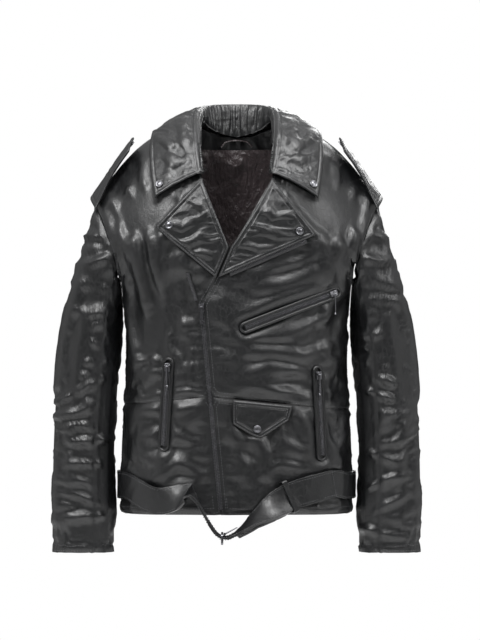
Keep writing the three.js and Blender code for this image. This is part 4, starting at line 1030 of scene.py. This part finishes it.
class JacketMetal(bpy.types.PropertyGroup):
    colour: bpy.props.FloatVectorProperty(
        name="Metal colour", description="Colour of the dark plating", subtype="COLOR", size=4,
        min=0, max=1, default=(0.15, 0.15, 0.16, 1))
    roughness: bpy.props.FloatProperty(
        name="Metal roughness", description="0 is a mirror", default=0.24, min=0, max=1,
        subtype="FACTOR")
    tooth_pitch: bpy.props.FloatProperty(
        name="Tooth pitch", description="Distance between two teeth of one row", default=0.0025,
        min=0.001, max=0.006, precision=5, unit="LENGTH")


class JacketStage(bpy.types.PropertyGroup):
    distance: bpy.props.FloatProperty(
        name="Camera distance", description="From the camera to the jacket's front", default=5.0,
        min=1, max=20, unit="LENGTH")
    view_height: bpy.props.FloatProperty(
        name="View height", description="Height that the camera frames", default=1.09, min=0.2,
        max=5, unit="LENGTH")


class JACKET_OT_materials(bpy.types.Operator):
    """Make the leather, satin, tape, thread and metal"""
    bl_idname = "jacket.materials"
    bl_label = "Materials"

    def execute(self, context):
        scene = context.scene
        materials["leather"] = leather_material(scene.jacket_leather)
        materials["satin"] = satin_material(scene.jacket_lining)
        materials["tape"] = tape_material()
        materials["thread"] = thread_material()
        metal = scene.jacket_metal
        materials["metal"] = metal_material("dark plating", metal.colour[:3], metal.roughness)
        dull = [0.6 * c for c in metal.colour[:3]]
        materials["teeth"] = metal_material("blackened teeth", dull, metal.roughness + 0.1)
        return {"FINISHED"}


class JACKET_OT_shell(bpy.types.Operator):
    """Make the leather panels of the body and the sleeves"""
    bl_idname = "jacket.shell"
    bl_label = "Shell"

    def execute(self, context):
        for index, (node, facts) in enumerate(PANELS.items()):
            make_sheet(node, facts, 3.1 * index + 1)
        weld(list(PANELS), 0.014, 0.0013)
        return {"FINISHED"}


class JACKET_OT_trim(bpy.types.Operator):
    """Make the collar, the lapels, the flap and the shoulder straps"""
    bl_idname = "jacket.trim"
    bl_label = "Trim"

    def execute(self, context):
        for index, (node, facts) in enumerate(TRIMS.items()):
            make_sheet(node, facts, 5.3 * index + 40)
        weld(["collar_fall", "collar_stand"], 0.012, 0.0004)
        return {"FINISHED"}


BELTS = ("belt_tip_strap", "belt_buckle_strap")


def belt_edges(obj, face_width):
    """Long edges of a strap with the wide face beside each: (a, b, inward, out of the face)."""
    points = points_of(obj)
    beside = {}
    for face in obj.data.polygons:
        for key in face.edge_keys:
            beside.setdefault(key, []).append(face)
    found = []
    for (a, b), faces in beside.items():
        if len(faces) != 2 or faces[0].normal.dot(faces[1].normal) > 0.7:
            continue
        wide = max(faces, key=lambda face: face.area)
        span = Vector(points[b] - points[a])
        inward = wide.center - Vector(points[a])
        inward -= span * (inward.dot(span) / span.length_squared)
        if wide.area > face_width * span.length and inward.length > 0.5 * face_width:
            found.append((Vector(points[a]), Vector(points[b]), inward.normalized(), wide.normal.copy()))
    return found


class JACKET_OT_belt(bpy.types.Operator):
    """Make the two straps of the belt"""
    bl_idname = "jacket.belt"
    bl_label = "Belt"

    def execute(self, context):
        leather = context.scene.jacket_leather
        unit = stitch_unit(leather.stitch_length, 0.0009)
        pitch = leather.stitch_length * 1.4
        places = []
        for node in BELTS:
            obj = new_object(f"{node}_leather", NODES[node].data.copy())
            edit(obj, ("remove_doubles", {"threshold": 1e-5}),
                 ("tris_convert_to_quads", {"face_threshold": 1.0, "shape_threshold": 2.0}))
            for a, b, inward, out in belt_edges(obj, 0.012):
                steps = max(1, round((b - a).length / pitch))
                for k in range(steps):
                    at = a.lerp(b, (k + 0.5) / steps) + inward * 0.0036 + out * 0.0002
                    places.append(frame_of(at, b - a, out))
            modify(obj, "BEVEL", width=0.0009, segments=2, limit_method="ANGLE", angle_limit=math.radians(50))
            refine(obj, 2)
            base, normals = points_of(obj), normals_of(obj)
            waves = crease_moves(base, 0.028, 0.0011, (1, 1, 0.5), 7.0) + crease_moves(base, 0.011, 0.0004)
            put_points(obj, base + normals * waves[:, None])
            finish_piece(obj, materials["leather"], "leather", [node], "jacket", 60)
        sewn = copies("stitching_belt", unit, places)
        finish_piece(sewn, materials["thread"], "leather", [], "jacket")
        bpy.data.objects.remove(unit)
        return {"FINISHED"}


class JACKET_OT_lining(bpy.types.Operator):
    """Make the satin lining of the body and the sleeves"""
    bl_idname = "jacket.lining"
    bl_label = "Lining"

    def execute(self, context):
        for index, (node, facts) in enumerate(SATINS.items()):
            make_sheet(node, facts, 2.3 * index + 90)
        return {"FINISHED"}


def anywhere(point):
    return True


STITCH_ROWS = {
    # node: rows as (inset mm, test of a point in metres)
    "collar_fall": [(7.6, lambda p: p.y < 0.5 and (abs(p.x) > 0.066 or p.y > 0.02))],
    "lapel_left": [(7.6, anywhere), (2.6, anywhere)],
    "lapel_right": [(7.6, anywhere), (2.6, anywhere)],
    "coin_flap": [(7.6, anywhere), (2.6, anywhere)],
    "shoulder_strap_left": [(7.6, anywhere)],
    "shoulder_strap_right": [(7.6, anywhere)],
    "front_left_upper": [(3.5, anywhere)],
    "front_right_upper": [(3.5, anywhere), (9.5, lambda p: p.x < 0.0 and p.z < -0.24)],
    "front_left_lower": [(3.5, lambda p: p.x > -0.06 or p.z < -0.6), (12, lambda p: p.z < -0.61)],
    "front_right_lower": [(3.5, lambda p: p.x < 0.0 or p.z < -0.6), (9.5, lambda p: p.x < -0.005),
                          (12, lambda p: p.z < -0.61)],
    "back_yoke": [(3.5, anywhere)],
    "back_panel": [(12, lambda p: p.z < -0.62), (3.5, lambda p: abs(p.x) > 0.19 or p.z < -0.6)],
    "sleeve_left_outer": [(14, lambda p: p.z < -0.695), (3.5, lambda p: p.z < -0.705)],
    "sleeve_right_outer": [(14, lambda p: p.z < -0.695), (3.5, lambda p: p.z < -0.705)],
    "sleeve_left_under": [(14, lambda p: p.z < -0.695)],
    "sleeve_right_under": [(14, lambda p: p.z < -0.695)],
}


class JACKET_OT_stitching(bpy.types.Operator):
    """Sew the topstitching along the borders"""
    bl_idname = "jacket.stitching"
    bl_label = "Stitching"

    def execute(self, context):
        leather = context.scene.jacket_leather
        unit = stitch_unit(leather.stitch_length, 0.0009)
        by_body = {}
        for node, rows in STITCH_ROWS.items():
            facts = PANELS.get(node) or TRIMS[node]
            for inset, keep in rows:
                for row in rim_rows(finished[node], inset * MM, keep):
                    by_body.setdefault(facts.body, []).extend(spaced(row, leather.stitch_length * 1.4))
        for body, frames in by_body.items():
            sewn = copies(f"stitching_{body}", unit, frames)
            finish_piece(sewn, materials["thread"], "leather", [], body)
        bpy.data.objects.remove(unit)
        return {"FINISHED"}


class JACKET_OT_thickness(bpy.types.Operator):
    """Give every sheet its thickness and its finish"""
    bl_idname = "jacket.thickness"
    bl_label = "Thickness"

    def execute(self, context):
        for node, facts in {**PANELS, **TRIMS, **SATINS}.items():
            obj = finished[node]
            modify(obj, "SOLIDIFY", thickness=facts.thick * MM, offset=-1)
            finish_piece(obj, materials[facts.material], facts.material, [node], facts.body, 60)
        return {"FINISHED"}


# ---- Zips, snaps and buckle ---------------------------------------------------------------------

def merged_points(node):
    points = points_of(NODES[node])
    return np.unique(np.round(points, 6), axis=0)


def stations(node, apart=0.0015):
    """The middle, across and out directions of each section of a long strip."""
    points = merged_points(node)
    middle = points.mean(axis=0)
    _, _, axes = np.linalg.svd(points - middle)
    run = (points - middle) @ axes[0]
    order = np.argsort(run)
    groups, group = [], [order[0]]
    for i in order[1:]:
        if run[i] - run[group[-1]] > apart:
            groups.append(group)
            group = []
        group.append(i)
    groups.append(group)
    out = []
    for group in groups:
        section = points[group]
        centre = section.mean(axis=0)
        _, _, own = np.linalg.svd(section - centre)
        out.append((centre, own[0]))
    result = []
    for i, (centre, across) in enumerate(out):
        ahead = out[min(i + 1, len(out) - 1)][0] - out[max(i - 1, 0)][0]
        ahead = ahead / np.linalg.norm(ahead)
        across = across - ahead * (across @ ahead)
        across /= np.linalg.norm(across)
        outward = np.cross(ahead, across)
        torso = np.array([0, TORSO_AXIS_Y, centre[2]]) if abs(centre[0]) < 0.2 else np.array(
            [np.sign(centre[0]) * 0.262, -0.088, centre[2]])
        if outward @ (centre - torso) < 0:
            outward, across = -outward, -across
        result.append((centre, ahead, across, outward))
    return result


def along_stations(sections, pitch):
    """Places each pitch along the sections, with their directions."""
    places, left = [], pitch / 2
    for (a, ahead, across, out), (b, _, across_b, out_b) in zip(sections, sections[1:]):
        length = float(np.linalg.norm(b - a))
        while left < length:
            t = left / length
            places.append((a + (b - a) * t, ahead, across * (1 - t) + across_b * t,
                           out * (1 - t) + out_b * t))
            left += pitch
        left -= length
    return places


def turn_of(at, x, y, z):
    matrix = Matrix.Identity(4)
    for i, column in enumerate((x, y, z)):
        column = Vector(column).normalized()
        for k in range(3):
            matrix[k][i] = column[k]
    for k in range(3):
        matrix[k][3] = at[k]
    return matrix


def tooth_unit(width):
    """One zip tooth: a bevelled body with a rounded head, across x, along y, out z."""
    bpy.ops.object.select_all(action="DESELECT")
    bpy.ops.mesh.primitive_cube_add(size=1)
    unit = bpy.context.object
    unit.scale = (width, 0.00115, 0.0023)
    bpy.ops.object.transform_apply(scale=True)
    edit(unit, ("bevel", {"offset": 0.00028, "segments": 2, "affect": "EDGES"}))
    return unit


def make_teeth(name, sections, unit, pitch, body, both=True, shift=0.0, lift=0.0):
    frames = []
    for side in ((-1, 1) if both else (1,)):
        for at, ahead, across, out in along_stations(sections, pitch):
            place = at + across * (side * 0.0013 + shift) + out * lift
            if side > 0 and both:
                place = place + ahead * pitch / 2
            frames.append(turn_of(place, across * side, np.cross(out, across * side), out))
    obj = copies(name, unit, frames)
    return finish_piece(obj, materials["teeth"], "dark_metal", [], body, 30)


def ribbon(name, sections, across_from, across_to, sink, thick):
    """A flat strip along the sections, between two distances across them."""
    points, faces = [], []
    for at, _, across, out in sections:
        points += [at + across * across_from - out * sink, at + across * across_to - out * sink]
    for i in range(len(sections) - 1):
        faces.append((2 * i, 2 * i + 1, 2 * i + 3, 2 * i + 2))
    mesh = bpy.data.meshes.new(name)
    mesh.from_pydata([list(map(float, p)) for p in points], [], faces)
    obj = new_object(name, mesh)
    modify(obj, "SOLIDIFY", thickness=thick, offset=0)
    return obj


def lip(name, sections, reach, width, height, sink, round_end=8):
    """A welt: a rounded leather lip that runs round a zip."""
    first, last = sections[0], sections[-1]
    path = []
    for at, ahead, across, out in sections:
        path.append((at + across * reach, across, out))
    for k in range(1, round_end):
        angle = math.pi * k / round_end
        at, ahead, across, out = last
        away = across * math.cos(angle) + ahead * math.sin(angle)
        path.append((at + away * reach, away, out))
    for at, ahead, across, out in reversed(sections):
        path.append((at - across * reach, -across, out))
    for k in range(1, round_end):
        angle = math.pi * k / round_end
        at, ahead, across, out = first
        away = -across * math.cos(angle) - ahead * math.sin(angle)
        path.append((at + away * reach, away, out))
    profile = [(0, -1.0), (0.02, 0.3), (0.2, 0.85), (0.5, 1.0), (0.8, 0.7), (1.0, 0.0), (1.0, -1.0)]
    points, faces = [], []
    for at, away, out in path:
        points += [at + away * (u * width) + out * (v * height - sink) for u, v in profile]
    n, m = len(path), len(profile)
    for i in range(n):
        for k in range(m):
            a, b = i * m + k, i * m + (k + 1) % m
            c, d = ((i + 1) % n) * m + (k + 1) % m, ((i + 1) % n) * m + k
            faces.append((a, b, c, d))
    mesh = bpy.data.meshes.new(name)
    mesh.from_pydata([list(map(float, p)) for p in points], [], faces)
    obj = new_object(name, mesh)
    edit(obj, ("normals_make_consistent", {"inside": False}))
    return obj


def subdivided(sections, parts):
    """More sections between those of a straight or curved strip."""
    out = []
    for a, b in zip(sections, sections[1:]):
        for k in range(parts):
            t = k / parts
            out.append(tuple(x * (1 - t) + y * t for x, y in zip(a, b)))
    return out + [sections[-1]]


class JACKET_OT_zips(bpy.types.Operator):
    """Make the zip chains, their tapes and the leather lips round the pockets"""
    bl_idname = "jacket.zips"
    bl_label = "Zips"

    def execute(self, context):
        pitch = context.scene.jacket_metal.tooth_pitch
        unit = tooth_unit(TOOTH_WIDTH)
        for node in ("chest_zip", "hand_zip_left", "hand_zip_right", "cuff_zip_left", "cuff_zip_right"):
            sections = stations(node)
            make_teeth(f"{node}_chain", sections, unit, pitch, "jacket")
            tape = ribbon(f"{node}_tape", sections, -0.0052, 0.0052, 0.0008, 0.0008)
            finish_piece(tape, materials["tape"], "zip_tape", [node])
            welt = lip(f"{node}_welt", subdivided(sections, 4), WELT_REACH, 0.0048, 0.0017, 0.0012)
            finish_piece(welt, materials["leather"], "leather", [])
        left, right = stations("main_zip_teeth_left"), stations("main_zip_teeth_right")
        sections = []
        for a, b in ((left[0], right[0]), (left[-1], right[-1])):
            sections.append([(a[0] + b[0]) / 2, a[1], np.array([1.0, 0, 0]), np.array([0, -1.0, 0])])
        chain = make_teeth("main_zip_chain", sections, unit, pitch, "jacket")
        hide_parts("main_zip_teeth_left", "main_zip_teeth_right")
        for node, body, shift in (("main_zip_open_left", "jacket", -OPEN_ROW_SHIFT),
                                  ("lapel_right_zip", "lapel_right", OPEN_ROW_SHIFT)):
            make_teeth(f"{node}_row", stations(node), unit, pitch, body, both=False, shift=shift,
                       lift=OPEN_ROW_LIFT)
        bpy.data.objects.remove(unit)
        for node in NODES:
            if "tape" in node or node in ("main_zip_open_left", "lapel_right_zip"):
                dress(node, materials["tape"])
        return {"FINISHED"}


def dress(node, material, bevel=0.0):
    """Gives a CAD node its finish, and rounds its edges."""
    obj = NODES[node]
    obj.data.materials.clear()
    obj.data.materials.append(material)
    if bevel:
        only(obj)
        weld_points = obj.modifiers.new("Weld", "WELD")
        weld_points.merge_threshold = 1e-5
        rounded = obj.modifiers.new("Bevel", "BEVEL")
        rounded.width, rounded.segments = bevel, 2
        rounded.limit_method, rounded.angle_limit = "ANGLE", math.radians(35)
        rounded.harden_normals = False


class JACKET_OT_hardware(bpy.types.Operator):
    """Make the snaps, and finish the sliders, pulls, buckle, keeper and loops"""
    bl_idname = "jacket.hardware"
    bl_label = "Hardware"

    def execute(self, context):
        for node in NODES:
            if node.endswith("_snap"):
                body = node[:-5] if node[:-5] in frame["bodies"] else "jacket"
                self.make_snap(node, body)
            elif node.endswith(("_slider", "_pull")) or node in ("belt_buckle", "belt_prong"):
                dress(node, materials["metal"], 0.0003)
            elif node in ("belt_keeper", "belt_loop_left", "belt_loop_right"):
                dress(node, materials["leather"], 0.0008)
            elif node in ("hanger_loop", "coin_pocket_bag"):
                dress(node, materials["satin"])
        return {"FINISHED"}

    def make_snap(self, node, body):
        points = merged_points(node)
        centre = points.mean(axis=0)
        _, _, axes = np.linalg.svd(points - centre)
        out = axes[2]
        if out @ (centre - np.array([0, TORSO_AXIS_Y, centre[2] - 0.06])) < 0:
            out = -out
        depth = (points - centre) @ out
        seat = centre + out * depth.min()
        bpy.ops.object.select_all(action="DESELECT")
        bpy.ops.mesh.primitive_cylinder_add(vertices=32, radius=0.0066, depth=0.0012)
        cap = bpy.context.object
        cap.name = f"{node}_cap"
        mesh = cap.data
        for steps in ((0.0008, 0.0008), (0.0014, -0.0007), (0.0016, 0.0007), (0.0012, 0.0003)):
            for face in mesh.polygons:
                face.select = face.normal.z > 0.9 and len(face.vertices) > 8
            bpy.ops.object.mode_set(mode="EDIT")
            bpy.ops.mesh.select_mode(type="FACE")
            bpy.ops.mesh.inset(thickness=steps[0], depth=steps[1])
            bpy.ops.object.mode_set(mode="OBJECT")
        modify(cap, "BEVEL", width=0.00025, segments=2, limit_method="ANGLE")
        place = turn_of(seat + out * 0.0006, *self.basis(out), out)
        cap.data.transform(place)
        finish_piece(cap, materials["metal"], "dark_metal", [node], body, 50)

    @staticmethod
    def basis(out):
        x = np.cross(np.array([0.0, 0, 1]), out)
        x /= np.linalg.norm(x)
        return x, np.cross(out, x)


class JACKET_OT_stage(bpy.types.Operator):
    """Make the floor, the backdrop, the lights and the camera"""
    bl_idname = "jacket.stage"
    bl_label = "Stage"

    def execute(self, context):
        scene = context.scene
        stage = scene.jacket_stage
        bpy.ops.object.select_all(action="DESELECT")
        bpy.ops.mesh.primitive_plane_add(size=1, location=(0, 0, FLOOR_Z))
        floor = context.object
        floor.name = "studio_sweep"
        floor.scale = (FLOOR_SIZE, FLOOR_SIZE, 1)
        bpy.ops.object.transform_apply(location=True, scale=True)
        floor.data.materials.append(stage_material())
        floor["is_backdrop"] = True
        for name, place, size, power in (
            ("key light", (-1.5, -2.3, 2.3), 1.2, 105),
            ("fill light", (2.2, -2.0, 1.5), 1.2, 34),
            ("top light", (0.2, -0.9, 2.4), 1.4, 70),
            ("back light", (0.9, 2.6, 1.4), 1.6, 70),
        ):
            bpy.ops.object.light_add(type="AREA", location=place)
            light = context.object
            light.name = name
            light.data.size = size
            light.data.energy = power
            aim = Vector(LAMP_TARGET) - Vector(place)
            light.rotation_euler = aim.to_track_quat("-Z", "Y").to_euler()
        scene.world = studio_light()
        scene.view_settings.view_transform = "Standard"
        lens = bpy.data.cameras.new("camera")
        camera = new_object("camera", lens)
        camera.location = (LOOK_AT[0], LOOK_AT[1] - stage.distance, LOOK_AT[2])
        camera.rotation_euler = (math.radians(90), 0, 0)
        lens.lens = lens.sensor_width * stage.distance / stage.view_height
        lens.clip_end = 50
        scene.camera = camera
        return {"FINISHED"}


class JACKET_PT_panel(bpy.types.Panel):
    bl_idname = "JACKET_PT_panel"
    bl_label = "Rider Jacket"
    bl_space_type = "VIEW_3D"
    bl_region_type = "UI"
    bl_category = "Jacket"

    def draw(self, context):
        for group in ("jacket_leather", "jacket_lining", "jacket_metal", "jacket_stage"):
            settings = getattr(context.scene, group)
            for name in settings.bl_rna.properties.keys():
                if name not in ("rna_type", "name"):
                    self.layout.prop(settings, name)
        for operator in OPERATORS:
            self.layout.operator(operator.bl_idname)


GROUPS = {"jacket_leather": JacketLeather, "jacket_lining": JacketLining,
          "jacket_metal": JacketMetal, "jacket_stage": JacketStage}
OPERATORS = [
    JACKET_OT_materials, JACKET_OT_stage, JACKET_OT_shell, JACKET_OT_trim, JACKET_OT_belt,
    JACKET_OT_lining, JACKET_OT_zips, JACKET_OT_hardware, JACKET_OT_stitching, JACKET_OT_thickness,
]


def register():
    for kind in (*GROUPS.values(), *OPERATORS, JACKET_PT_panel):
        bpy.utils.register_class(kind)
    for name, kind in GROUPS.items():
        setattr(bpy.types.Scene, name, bpy.props.PointerProperty(type=kind))


def unregister():
    for name in GROUPS:
        delattr(bpy.types.Scene, name)
    for kind in (JACKET_PT_panel, *reversed(OPERATORS), *reversed(GROUPS.values())):
        bpy.utils.unregister_class(kind)


def main():
    register()
    for operator in OPERATORS:
        group, name = operator.bl_idname.split(".")
        getattr(getattr(bpy.ops, group), name)()
    sizes = {"cad": [list(map(float, corner)) for corner in cad_box],
             "visual": [list(map(float, corner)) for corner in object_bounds()]}


if __name__ == "__main__":
    main()
